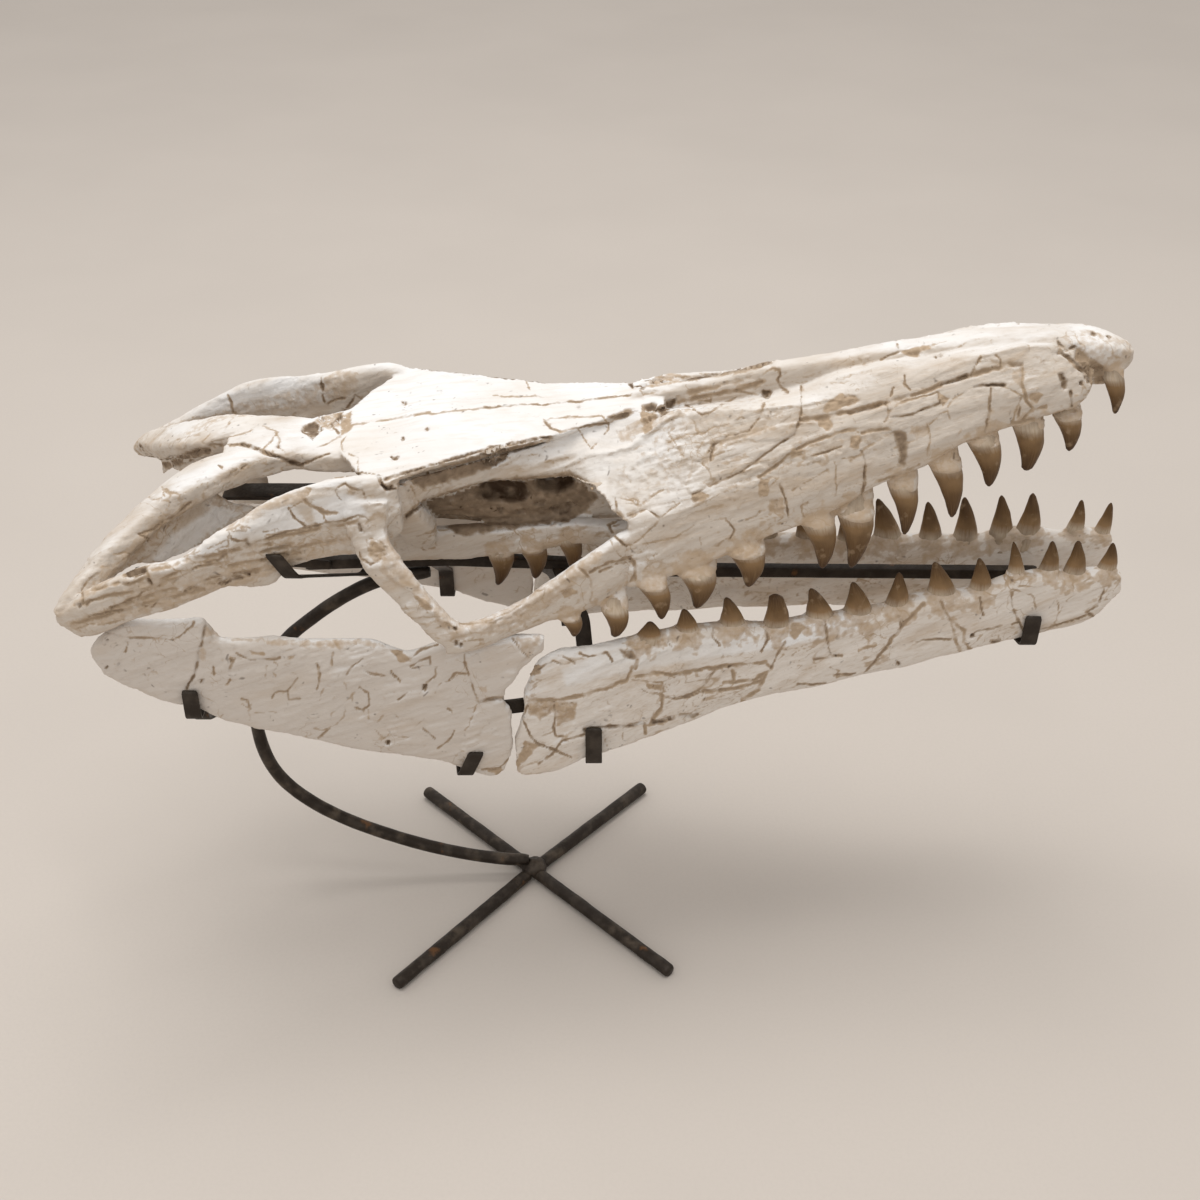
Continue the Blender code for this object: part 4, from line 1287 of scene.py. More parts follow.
CRANIUM_MARKS = {
    Line.HAIR: """
160,486 164,489 171,493 179,494/149,497 154,499 163,501 169,497 171,493/114,554 124,552 131,554/101,567
113,566 130,555/100,613 110,609 117,604 130,601 150,594/77,629 89,624 100,624 110,623 124,619/159,591
169,593 181,591/161,596 170,599 179,597/227,537 229,539 227,546 216,549/193,553 207,549 227,540/196,546
193,553 183,557 171,559 164,563 144,568/227,531 240,526 250,527/364,495 370,504 366,511/290,508
305,500/305,526 316,525 326,521 324,515/306,488 311,489 306,499/242,528 246,530 230,532/264,532 278,529
280,532 265,536/366,540 368,550 375,552 386,551/370,538 378,540 386,548 389,555/220,556 228,552 226,565
220,566/236,415 230,420 225,430/242,444 262,450 270,442 278,432 260,425 250,432 212,442/312,450 325,445
340,436/352,428 341,442 342,450 358,458 358,470/351,425 378,421 430,412/170,450 175,440 200,435/145,496
155,500 165,498 162,490 170,494 180,494/275,432 280,440 278,446 290,458/210,432 202,442 215,448/358,424
411,416 483,408/492,396 526,397 542,396/526,381 530,389/545,420 564,417 602,416 609,423/578,429 592,450
607,431 609,424/626,503 640,505 657,493 664,489/647,509 661,518 680,503/619,493 638,500 638,509
626,516/600,537 609,536 614,548 623,558/530,592 545,589 542,598 528,610 521,617 528,624 540,620/459,624
473,624 492,620 521,605/483,623 497,622 511,618/445,622 454,629 464,641 483,639/416,537 438,530
452,529/422,546 430,536 438,536 435,548 423,550 422,546/388,527 395,517 409,512/397,484 409,484 419,503
407,512/438,517 435,529 419,536/640,390 643,395 655,393/698,398 711,395 711,402 698,400/693,420
698,434/714,427 723,427 741,418 750,420 741,425/702,463 709,471 712,478/757,477 764,481 773,477
777,479/768,488 775,481 782,486 789,515/834,461 836,479 836,497/841,459 864,454 880,447/700,538 702,547
698,561/607,525 616,538 625,545 632,545/614,526 648,509 661,520 634,543/616,497 632,500 639,509 623,515
617,509/668,443 686,434 702,434 714,427/675,429 668,434 677,447 684,456/705,547 718,545 727,538/641,545
675,538 695,525 727,518/745,520 757,515 759,511/805,518 800,506 809,502/725,556 736,565 741,570/827,470
811,479 793,490/1029,346 1031,355/927,423 930,440 927,457/929,425 942,413 948,411 950,419/948,407 954,398
965,392 975,387/1004,386 1023,396 1017,409 1010,425/1071,361 1058,353/850,461 862,451 892,432/973,457
996,432/967,442 975,440 996,436/894,448 908,442 919,438/854,419 858,432
""",
    Line.CRACK: """
191,501 184,507 176,513 164,521 154,529 139,534/139,534 149,539 141,547 131,555/100,573 87,581 82,590
83,604/86,605 89,603 92,601/111,607 127,601 136,597 144,591 159,586/89,617 97,614 111,611 130,609 141,606
153,606 159,601/173,583 187,573 193,569 201,566/193,563 210,561 220,559 227,554/184,591 194,587 200,583
211,577 229,574 250,572/211,584 227,581 250,575/301,465 310,461 320,457 329,454/336,478 351,475 362,472
374,474 380,478 384,485 386,490/335,490 340,486 345,484 352,489 362,491 364,495/335,490 338,496
342,501/288,508 295,518 305,526/229,532 231,539 245,541 249,546/250,544 264,540 275,535 288,532
306,528/308,528 326,522 345,520 358,515 366,518 369,521/289,561 295,560 302,559/359,552 361,559 370,564
378,561/220,580 239,575 258,572 272,569/228,395 236,416/321,378 321,388 325,402/210,445 240,445 258,448
268,454/302,465 312,460 320,458/340,436 332,425 340,415 349,405 356,395/356,395 362,399/218,466
222,468/230,472 236,470/241,468 248,465/358,390 345,398 335,400 328,404/483,408 516,405 554,404 597,399
630,395/544,420 547,425 559,431 578,427 609,423/615,498 617,512 623,517/609,525 626,517 647,509
660,518/609,525 614,536 626,546/590,572 609,562 630,558/759,377 773,368 780,369 781,375 777,380 780,388
789,393/736,390 759,395 768,398/686,405 702,415 709,413 718,406 736,397/714,444 727,436 748,431 759,418
764,404/709,452 714,444 711,461/798,422 795,434 768,452 741,472 714,484 693,495/801,386 801,402 800,420
795,434 786,440/780,484 786,502 789,518/864,465 865,484 861,500/811,457 827,452 841,447/727,520 734,529
730,538/600,571 618,563 632,562/897,344 899,352 881,359/858,357 862,361/904,375 904,384 910,390/894,388
890,396/981,357 973,369 971,375/996,355 1000,359 1000,365/890,411 898,403 938,392 940,402 912,415
892,417/992,388 990,405 985,432/1021,407 1019,413 1017,417/862,451 865,465 862,498/886,402 889,415 885,421
""",
    Line.SEAM: """
144,568 149,577 150,583 156,589/305,500 310,506 319,509 324,512 336,512/220,551 232,550 249,546
270,545/578,567 585,572 590,579 592,593 590,600/630,558 635,567 635,579/759,477 773,468 789,454 800,447
818,440 841,431 859,427/634,561 636,572 630,581/862,432 875,430 890,429/1023,367 1021,384 1025,390 1027,402
1031,407/1023,419 1031,411 1046,407/1012,423 1038,419 1075,410/879,482 912,469 919,465
""",
    Line.RIDGE: """
71,624 84,619/288,534 308,528/566,465 590,455 611,452 626,450 647,434 680,410/390,574 404,586 435,612
445,622/600,456 630,447 661,425 686,404 698,400/954,359 979,355 998,352 1025,346
""",
    Line.GAP: """
241,445 251,446 261,451 270,455 285,459 295,462 302,466/379,476 382,484 388,490 392,486/246,540
250,546/359,524 361,530/220,584 230,581 242,578/322,384 323,390/268,454 282,459 301,466/138,445 150,456
165,460 190,456 200,450 210,450/385,479 435,465 483,450 542,437 552,438/382,484 388,490 395,489/404,518
411,512 422,504/682,381 714,375 745,368 770,363/630,384 634,388 643,387/942,384 954,380 967,375/975,387
983,385 1005,385/1071,392 1072,406/1058,342 1067,351 1075,347/1060,353 1069,357 1077,365 1087,372 1087,381
""",
    Line.LAYER: """
152,569 170,566 190,559 220,554 250,545 277,537 310,530 357,521/160,580 180,571 200,567 222,562 240,556
272,550 290,546/185,592 215,581 250,571 278,566/75,606 110,595 145,589 166,581 186,577/72,624 100,617
135,606 180,595 204,589/112,607 140,600 160,592 176,589/228,566 250,562 276,557 300,553/93,590 118,583
128,584 146,578/262,560 300,548 330,541 352,538/1060,351 1069,358 1075,366 1085,371 1088,379
""",
    Line.SWELL: """
648,398 680,391 720,381 762,370 776,366/152,574 180,564 207,546 240,530 285,520/126,592 160,584 190,572
230,558
""",
    Line.GROOVE: """
762,382 748,386 730,391 712,395 694,398 678,401/682,379 694,378 707,376 722,375 740,371 756,367
770,364/124,575 146,569/677,396 709,387 745,379 759,378/802,420 818,419 836,414 857,410 880,404/850,413
885,403 923,392 938,386 954,380 983,372 1008,365 1023,364
""",
}
CRANIUM_PATCHES = {
    # Tan with painted light that lifts the painted side shade.
    Area.CREAM: """
175,432 200,412 232,396 270,384 320,376 345,372 340,396 325,402 270,412 225,418 190,434/1062,338 1092,330
1128,342 1130,352 1112,362 1090,356 1072,348/200,500 226,494 262,512 250,522 226,516 208,512
""",
    Area.HOLLOW: """
1075,360 1078,348 1090,357 1102,366 1109,373 1104,381 1096,386 1090,382
""",
    # Painted light on bone that lies in shade.
    Area.PAINTED_LIGHT: """
244,515 290,503 312,527 280,535 250,540 242,528/312,500 345,492 362,500 366,515 332,520 314,525/214,506
262,520 240,540 222,552 196,556 180,566 160,572 152,560 176,532 196,520/160,428 226,392 300,372 360,364
330,380 232,404 176,436/566,424 598,424 588,452 552,440
""",
    # Painted shade on the maxilla's sides, with worn rough bone.
    Area.WORN: """
634,445 659,429 675,411 700,400 760,396 800,412 741,429 714,438 700,463 686,488 640,510 606,480/700,494
760,470 800,446 860,428 900,412 905,440 862,452 800,470 741,492/160,560 220,550 290,536 350,520 356,552
300,560 250,584 200,600 140,616 80,632 66,620 110,596
""",
    # Tan tint, and painted shade on the maxilla's sides.
    Area.TINT: """
240,562 300,548 352,548 352,556 300,562 250,584 200,600 130,618 70,632 64,622 120,604 180,588/375,556
392,576 430,612 452,640 512,632 560,600 604,560 600,548 552,578 500,606 462,620 432,596 404,560 392,530
380,540/232,494 190,512 160,536 120,574 78,608 74,602 112,560 150,524 200,494/190,501 193,504 179,513
167,523 154,535 149,539 139,534 159,527 173,517 181,509/220,532 242,526 258,520 274,510 290,505 305,500
312,489 308,488 282,494 258,505 228,521/268,549 290,542 329,535 354,532 351,540 332,546 308,550
290,550/322,378 338,368 358,372 358,390 335,402 325,400/376,565 385,567 395,579 409,593 400,589
388,581/905,432 912,428 927,423 930,434 919,438 908,435/1012,371 1023,367 1021,386 1008,384/992,419 1004,419
1002,430 994,428/698,464 703,452 712,445 726,434 745,429 775,423 779,428 752,437 731,443 717,453
708,466/616,430 640,420 664,410 690,404 712,402 690,414 664,424 640,436 620,444
""",
    Area.HOLE: """
124,571 134,568 146,566 146,574 136,577 128,578/78,604 81,604 81,607 79,607/148,579 150,579 152,584
149,584/302,426 315,422 323,430 313,438 303,433/319,416 322,416 324,420 320,420/338,414 342,416 340,423
336,420/277,445 279,445 279,447 277,447/402,401 405,401 406,404 403,403/426,428 428,428 428,430
426,430/402,438 404,438 404,440 402,440/578,405 580,405 580,407 578,407/391,457 398,456 397,460
393,460/479,455 488,449 502,448 510,452 503,462 495,467 485,464/454,627 457,627 457,630 454,630/455,641
458,641 458,644 455,644/460,642 462,642 462,645 460,645/498,510 504,510 505,515 500,516/515,511 525,510
526,514 517,515/534,503 545,501 545,504 535,506/550,509 569,503 576,508 561,515 552,514/538,522 554,520
552,524 540,525/762,390 772,392 769,399 762,397/642,404 655,402 657,411 648,411/656,408 677,397 671,409
660,417/934,356 937,355 937,358 935,358/939,354 941,353 941,356 939,356/1059,374 1064,373 1065,380
1060,381/1061,381 1068,380 1067,388 1062,388/1080,382 1082,382 1082,385 1080,385/1091,332 1096,332 1095,335
1091,334/1106,335 1111,336 1110,338 1107,338
""",
    # Brown matrix stain, with painted shade inside the orbit.
    Area.STAIN_AND_SHADE: """
893,431 906,432 907,448 906,465 900,466 899,452/309,471 320,472 332,478 325,479 316,481 312,475/190,450
210,448 210,453 190,462 168,468 152,460 165,460/409,477 450,465 483,452 507,448 530,442 538,443 507,455
495,467 464,477 423,489 411,481/608,417 626,409 638,410 621,419/423,500 454,489 495,479 538,477 569,471
592,484 597,498 585,512 569,522 538,524 464,536 442,524 421,503
""",
    Area.SPONGE: """
369,539 385,545 388,559 376,562 368,556/315,420 328,414 341,412 342,425 330,430 320,428/643,386 655,377
668,373 680,375 682,382 664,385 650,388/768,500 782,497 786,515 770,513
""",
    Area.FILLER: """
340,416 351,412 352,428 341,436/642,404 652,403 655,414 660,417 650,427 641,417/561,591 573,587 578,593
564,598/414,596 421,598 435,610 430,612 419,605/639,411 650,415 652,429 645,434 640,420/691,495 700,492
711,495 702,502 693,502/822,411 830,400 841,394 855,395 860,401 855,405 841,408 827,413/818,420 830,418
834,425 827,431 820,427/791,450 802,447 802,456 791,459/759,479 768,479 767,495 759,497 758,486/727,552
736,547 745,550 741,556/900,351 929,345 950,340 946,342 927,349 917,357 904,355/940,394 950,398 943,407
940,402/850,438 860,434 862,442 858,448 850,448/1031,392 1044,394 1038,402 1029,398/1077,353 1088,363
1108,368 1108,378 1098,386 1090,384 1088,370
""",
    Area.PANEL: """
711,461 718,447 748,436 777,425 798,422 795,434 768,450 741,470 716,479 691,495 686,488 691,477
707,465/742,470 759,464 764,468 748,477/766,461 789,448 793,452 773,465/890,411 898,403 938,392 940,402
912,415 892,417
""",
}
DENTARY_MARKS = {
    Line.CRACK: """
824,615 827,639 830,656/814,660 830,657 842,655/898,615 901,627 886,648 871,665 862,676/980,598
983,615/915,643 924,639 951,639/970,634 977,631 1001,626/1012,624 1018,623/1012,592 1012,606 1018,621
1026,633/1087,612 1098,606 1104,589/1089,614 1095,618/1036,630 1059,624 1086,615/715,671 701,689
680,698/761,651 768,639 765,630/771,668 777,654 786,642/680,715 698,714/856,673 833,675/824,683 812,685
798,684/528,700 523,718 530,736 539,745 557,750/554,705 555,716 553,727 556,736 562,736/539,719
550,711/535,741 548,748 571,757/539,764 553,753 562,741 585,734/664,698 685,698 703,691 720,689/537,670
544,666 553,660 562,664/564,657 575,664/580,653 589,657 607,653 612,661/669,636 668,643 672,648/714,627
712,636 719,645
""",
    Line.HAIR: """
830,667 839,671 836,677 856,673/1012,589 1033,595 1037,612/1018,586 1036,586/1056,595 1059,612/1027,574
1012,574/623,727 623,739/603,732 607,745/632,680 662,682 664,691 660,695 644,691 632,680/703,689 707,677
712,675/525,684 537,680/528,691 537,685
""",
    Line.SEAM: """
924,604 906,621 898,633 886,648/940,601 951,621 956,642 959,651/951,621 965,630 964,642 970,648/680,674
715,667 765,662 771,668/733,671 734,680 724,683 754,680 768,671 759,689 742,701/702,692 742,687
762,680/528,700 557,700 575,697 594,691 607,688 619,682 628,680 632,668 637,661/644,723 646,734/646,725
662,723 675,718/635,677 653,673 673,675 698,670 720,668/662,695 662,707 650,723/632,652 637,661 636,668
""",
    Line.GAP: """
992,642 999,640/585,730 603,727 625,726 644,723/653,723 675,719 697,714
""",
    Line.RIDGE: """
573,725 598,714 610,707
""",
}
DENTARY_PATCHES = {
    # Painted light along the top of the jaw.
    Area.PAINTED_LIGHT: """
560,668 600,656 660,644 720,636 780,628 860,614 860,630 780,648 700,660 640,670 566,686
""",
    Area.FILLER: """
859,651 868,646 877,644 874,648 865,650/789,634 792,621 801,624 812,629 801,631 795,639/646,683 662,684
662,691 650,689/527,666 539,665 540,673 530,676/525,741 537,745 548,749 539,745 516,770 514,766
""",
    Area.HOLE: """
897,662 900,662 900,665 897,665/970,633 973,633 973,636 970,636
""",
    Area.TINT: """
951,598 965,598 965,605 954,606
""",
    Area.SPONGE: """
528,702 544,701 557,702 578,702 575,718 557,727 555,711 539,720 528,714/621,643 648,634 664,636 666,645
635,650
""",
    Area.STAIN_AND_SHADE: """
619,649 632,651 635,659 625,657
""",
}
REAR_JAW_MARKS = {
    Line.CRACK: """
106,633 130,638 152,638 173,639 184,633 192,626 194,621/125,641 129,642 125,652/213,666 214,674/230,659
232,663 229,672/226,684 230,680/237,653 250,659 276,659 280,657/272,697 275,693 280,691 287,692
297,678/287,692 288,700 300,699/241,699 247,700 250,709/316,663 321,672 319,680 317,689/333,652
332,665/360,687 368,693 369,704 363,711 356,707/319,738 330,728/347,674 352,667 363,659/365,670 373,674
384,676/391,670 395,678/464,655 466,666 473,686 478,700 480,702/455,730 450,739 439,748/512,638 519,648
528,657/410,666 430,657 431,666 412,668/407,660 421,650 437,645/435,668 436,675 427,682 425,691/448,680
455,673 466,674/391,672 397,678 400,682/398,700 407,693/423,728 435,738/448,709 452,712/482,769 498,769
512,755
""",
    Line.GAP: """
206,626 198,654 197,665 194,676 188,684 187,689/480,702 489,699 504,698 510,702
""",
    Line.RIDGE: """
123,646 115,665 114,672/152,691 187,690/425,695 444,697 462,698
""",
    Line.HAIR: """
235,658 232,667 230,672/273,661 278,665 273,672 276,676/267,665 266,680/288,700 287,709/242,704 246,709
252,705/248,711 250,720/319,700 323,689 337,680 339,674/341,680 346,685 347,689/360,687 345,702 332,713
330,720/369,709 368,718/313,728 323,730 337,724 343,718 345,707/378,722 382,717 389,709/352,698
353,707/376,730 384,739/254,713 276,712/284,672 297,673/223,715 221,717/478,702 473,714 468,727
464,730/435,693 439,684 448,680/387,709 398,718/513,757 513,768 503,780/414,727 425,718/380,739 394,736
414,739
""",
}
REAR_JAW_PATCHES = {
    Area.TINT: """
206,626 219,633 219,637 202,636/200,643 208,650 206,661 200,659/219,637 276,639 321,640 363,639 384,643
389,648 363,646 319,648 282,646 232,641/514,638 539,635 541,643 528,657/479,688 487,684 486,697 481,695
""",
    Area.HOLE: """
107,639 109,639 109,641 107,641/106,667 108,667 108,669 106,669/200,680 203,680 203,683 200,683/423,685
427,685 425,690 423,690/387,741 390,741 390,744 387,744
""",
    Area.FILLER: """
250,650 265,653 264,656 252,654/288,656 296,654 294,660 290,659/230,658 235,659 232,665 230,663/316,665
321,667 320,676 318,674/389,650 403,651 411,661 400,662/486,769 500,767 507,775 498,777
""",
    Area.PANEL: """
466,656 512,639 525,655 516,675 507,695 480,699 472,682/481,706 503,701 510,707 511,755 503,768 482,767
464,757 466,730 474,714
""",
}


@dataclass
class Cranium:
    """The upper skull with its upper teeth, grown together as one bone."""

    nasal_bar: tuple = (
        (485, 0, 641, 628, 12), (478, 0, 646, 621, 27), (465, 0, 652, 615, 38),
        (450, 0, 656, 616, 46), (430, 0, 658, 620, 46), (400, 0, 659, 622, 42),
        (350, 0, 655, 618, 36), (300, 0, 648, 612, 30), (250, 0, 641, 603, 25),
        (200, 0, 631, 592, 21), (164, 0, 625, 585, 19), (120, 0, 613, 575, 17),
        (92, 0, 607, 570, 16), (60, 0, 603, 566, 16), (39, 0, 600, 564, 15),
        (18, 0, 589, 562, 14),
    )
    snout: tuple = (
        (446, 636, 14, 640, 30, 628, 34, 618, 622),
        (440, 641, 18, 645, 36, 629, 41, 608, 617),
        (428, 646, 21, 650, 41, 626, 46, 599, 612),
        (400, 652, 24, 654, 46, 624, 50, 592, 606),
        (375, 652, 27, 652, 49, 620, 53, 584, 600),
        (335, 648, 33, 645, 55, 610, 60, 574, 590),
        (295, 640, 38, 631, 61, 598, 67, 552, 572),
        (254, 632, 42, 620, 67, 584, 73, 535, 556),
        (215, 622, 46, 613, 73, 570, 80, 512, 536),
        (183, 609, 50, 608, 79, 558, 86, 500, 524),
        (148, 597, 52, 605, 86, 548, 92, 489, 512),
        (115, 588, 49, 602, 92, 539, 98, 476, 498),
        (77, 581, 44, 597, 98, 528, 105, 462, 484),
        (45, 577, 36, 593, 103, 520, 112, 455, 476),
        (26, 574, 30, 589, 106, 514, 116, 452, 472),
    )
    skull_roof: tuple = (
        (-238, 46, 561, 558), (-222, 78, 563, 560), (-205, 103, 565, 562),
        (-190, 117, 567, 564), (-168, 106, 573, 569), (-133, 91, 578, 572),
        (-90, 74, 581, 575), (-45, 56, 584, 579), (0, 40, 588, 587),
        (26, 31, 591, 591), (60, 29, 594, 595),
    )
    orbit_roof: tuple = (
        (44, 35, 592, 70, 558, 101, 516), (19, 31, 588, 68, 557, 106, 520),
        (5, 36, 585, 66, 562, 97, 537), (-12, 40, 582, 62, 566, 84, 541),
        (-29, 44, 578, 57, 560, 66, 541), (-60, 54, 572, 60, 554, 62, 536),
        (-100, 67, 567, 69, 552, 68, 538), (-140, 84, 563, 84, 548, 78, 530),
        (-172, 98, 561, 98, 545, 92, 526),
    )
    cheek_bar: tuple = (
        (48, -99, 500, 462, 12), (25, -104, 508, 452, 17), (1, -114, 498, 436, 19),
        (-20, -121, 485, 432, 19), (-42, -127, 470, 430, 18), (-54, -131, 464, 428, 17),
        (-73, -138, 453, 423, 15), (-100, -150, 445, 417, 14), (-121, -156, 441, 414, 13),
        (-138, -157, 437, 413, 13),
    )
    jugal_arm: tuple = (
        (-122, -156, 424, 22, 13), (-139, -157, 436, 26, 13), (-160, -152, 457, 28, 13),
        (-180, -145, 480, 31, 13), (-197, -136, 501, 34, 14), (-206, -126, 520, 38, 16),
        (-206, -118, 548, 40, 18),
    )
    cheek_arch: tuple = (
        (-178, -107, 562, 512, 16), (-190, -111, 567, 502, 19), (-210, -114, 570, 494, 20),
        (-235, -117, 568, 491, 19), (-263, -124, 563, 489, 17), (-279, -128, 558, 485, 16),
        (-291, -132, 553, 474, 15), (-312, -140, 542, 472, 15), (-330, -146, 532, 477, 15),
        (-344, -151, 524, 475, 15), (-363, -155, 511, 467, 15), (-377, -157, 507, 462, 15),
        (-399, -160, 505, 456, 15), (-424, -160, 494, 447, 16), (-448, -159, 481, 435, 17),
        (-464, -158, 472, 432, 17), (-477, -157, 461, 441, 15), (-485, -157, 454, 446, 9),
    )
    left_cheek_arch: tuple = (
        (-178, 107, 562, 512, 16), (-190, 111, 567, 502, 19), (-210, 114, 571, 495, 20),
        (-235, 117, 567, 494, 19), (-263, 124, 558, 493, 17), (-291, 132, 551, 481, 15),
        (-312, 140, 546, 479, 15), (-337, 148, 539, 484, 15), (-363, 155, 530, 477, 15),
        (-385, 157, 519, 470, 15), (-403, 159, 509, 462, 15), (-421, 160, 498, 454, 16),
        (-440, 159, 487, 444, 17), (-457, 159, 477, 438, 17), (-472, 157, 467, 444, 15),
        (-485, 157, 455, 447, 9),
    )
    rear_arm: tuple = (
        (-262, -14, 543, 24, 34), (-292, -22, 541, 24, 32), (-330, -34, 537, 24, 34),
        (-350, -40, 533, 24, 44), (-368, -45, 528, 24, 52), (-401, -64, 513, 24, 44),
        (-430, -94, 495, 24, 38), (-453, -126, 477, 23, 28), (-470, -149, 463, 20, 20),
        (-483, -159, 452, 14, 13),
    )
    rear_wall: tuple = (
        (-326, -28, 489, 474, 6), (-345, -34, 498, 470, 8), (-364, -46, 516, 466, 9),
        (-386, -64, 510, 462, 9), (-408, -86, 498, 464, 9), (-424, -100, 489, 471, 9),
        (-438, -114, 482, 468, 9), (-456, -136, 470, 450, 9),
    )
    parietal: tuple = (
        (-214, 0, 560, 536, 104), (-236, 0, 560, 534, 100), (-258, 0, 556, 531, 88),
        (-282, 0, 553, 529, 72), (-306, 0, 553, 528, 60), (-330, 0, 550, 528, 50),
        (-352, 0, 543, 527, 36),
    )
    inner_wall: tuple = (
        (-206, 0, 556, 500, 60), (-190, 0, 562, 480, 76), (-140, 0, 568, 472, 82),
        (-90, 0, 572, 470, 82), (-40, 0, 574, 472, 80), (10, 0, 578, 474, 84),
        (40, 0, 580, 480, 90),
    )
    tip_lump: tuple = (
        (444, -10, 623, 14, 14), (451, -10, 619, 19, 16), (458, -10, 619, 18, 15),
        (465, -9, 622, 12, 12),
    )
    rear_lump: tuple = (
        (-186, -96, 552, 26, 20), (-180, -90, 528, 26, 22), (-172, -76, 503, 34, 24),
        (-168, -58, 482, 34, 24), (-172, -44, 464, 26, 18),
    )
    pterygoid: tuple = (
        (-214, -50, 462, 446, 9), (-194, -46, 474, 441, 13), (-160, -42, 476, 440, 15),
        (-110, -41, 478, 444, 16), (-70, -42, 481, 450, 17), (-30, -45, 486, 460, 18),
        (10, -52, 488, 468, 18), (40, -60, 490, 470, 18),
    )
    upper_teeth: tuple = (
        (466, -18, 619, 473, 584, 20), (424, -36, 590, 431, 555, 25),
        (388, -45, 583, 392, 540, 28), (347, -51, 572, 358, 526, 30),
        (314, -57, 551, 326, 497, 29), (276, -63, 533, 283, 482, 27),
        (234, -71, 509, 235, 451, 34), (199, -78, 502, 207, 454, 31),
        (133, -91, 480, 138, 442, 34), (89, -99, 460, 90, 424, 34),
        (47, -110, 455, 57, 419, 28), (13, -119, 434, 14, 405, 25),
        (-28, -126, 430, -24, 410, 21),
    )
    worn_tooth: tuple = (466, 18, 619, 469, 603, 19)
    pterygoid_teeth: tuple = (
        (-95, -42, 449, -98, 413, 26), (-65, -43, 456, -62, 421, 27), (-31, -45, 466, -26, 431, 24),
    )
    hollows: tuple = ((-90, -46, 512, 27, 20, 11), (-41, -46, 521, 21, 20, 10))
    margin_thick: float = 15.0
    roof_thick: float = 12.0
    roof_edge: float = 6.0
    wall_thick: float = 8.0
    wall_deeper: float = 14.0
    left_drop: float = 8.0

    def snout_rings(self) -> list:
        """Rings across X for the maxillae and palate, an upside-down U with a thick rim.

        Returns:
            The rings.
        """
        rings = []
        for row in Lofts.smooth_rows(self.snout):
            x, roof, shoulder, top, cheek, middle, margin, low, palate = row
            inner = margin - self.margin_thick
            half = [
                (shoulder * 0.5, max(roof, (roof + top) / 2)), (shoulder, top),
                ((shoulder + cheek) / 2, (top + middle) / 2 + 3), (cheek, middle),
                (margin, (middle + low) / 2), (margin, low + 4), (margin - 5, low),
                (inner, low + 2), (inner - 6, palate),
            ]
            drop = self.left_drop * math.exp(-((x - 125) / 45) ** 2)
            ring = [(x, 0.0, roof)]
            ring += [(x, y, z - drop * (z > middle)) for y, z in half]
            rings.append(ring + [(x, 0.0, palate + 3)] + [(x, -y, z) for y, z in reversed(half)])
        return rings

    def roof_rings(self) -> list:
        """Rings across X for the flat skull roof, thinner at its edges.

        Returns:
            The rings.
        """
        rings = []
        for x, wide, middle, edge in Lofts.smooth_rows(self.skull_roof):
            low = edge - self.roof_edge
            upper = [(x, -wide, edge), (x, -wide / 2, (middle + edge) / 2), (x, 0, middle)]
            upper += [(x, wide / 2, (middle + edge) / 2), (x, wide, edge)]
            lower = [(x, wide - 3, low), (x, wide / 2, low - 2), (x, 0, middle - self.roof_thick)]
            rings.append(upper + lower + [(x, -wide / 2, low - 2), (x, -wide + 3, low)])
        return rings

    def orbit_rings(self) -> list:
        """Rings across X for the thin wall over the orbit, on the right side.

        Returns:
            The rings.
        """
        rings = []
        thick = self.wall_thick
        for row in Lofts.smooth_rows(self.orbit_roof):
            x, top_y, top, middle_y, middle, rim_y, rim = row
            outer = [(x, -top_y, top - 4), (x, -middle_y, middle), (x, -rim_y, rim)]
            inner = [(x, -rim_y + thick, rim + 2), (x, -middle_y + thick, middle - 3)]
            rings.append(outer + inner + [(x, -top_y + thick, top - 9)])
        return rings

    def teeth(self) -> list:
        """Rows of upper teeth and of the teeth on the inner bars, on both sides.

        Returns:
            The four rows.
        """
        rows = []
        for side in Side:
            way = -side.value
            for name, given in (("upper", self.upper_teeth), ("inner", self.pterygoid_teeth)):
                placed = tuple((x, y * way, *rest) for x, y, *rest in given)
                if side is Side.LEFT and name == "upper":
                    placed = (self.worn_tooth,) + placed[1:]
                blunt = {2: 0.22, 11: 0.2} if name == "upper" else {}
                rows.append(Teeth(f"{name}_teeth_{side.name.lower()}", placed, blunt=blunt))
        return rows

    def lofts(self) -> list:
        """All the lofts that the skull is grown from, except the roots of its teeth.

        Returns:
            Rings of each loft.
        """
        paired = [
            self.orbit_rings(), Lofts.blade(self.cheek_bar), Lofts.bar(self.jugal_arm),
            Lofts.bar(self.rear_arm), Lofts.bar(self.rear_lump), Lofts.blade(self.pterygoid),
        ]
        left_wall = tuple(
            (x, -y, top, low - self.wall_deeper, thick) for x, y, top, low, thick in self.rear_wall
        )
        single = [
            Lofts.blade(self.nasal_bar), self.snout_rings(), self.roof_rings(), Lofts.bar(self.tip_lump),
            Lofts.blade(self.parietal), Lofts.blade(self.inner_wall), Lofts.blade(self.cheek_arch),
            Lofts.blade(self.rear_wall), Lofts.blade(left_wall), Lofts.blade(self.left_cheek_arch),
        ]
        return single + paired + [Lofts.mirrored(rings) for rings in paired]

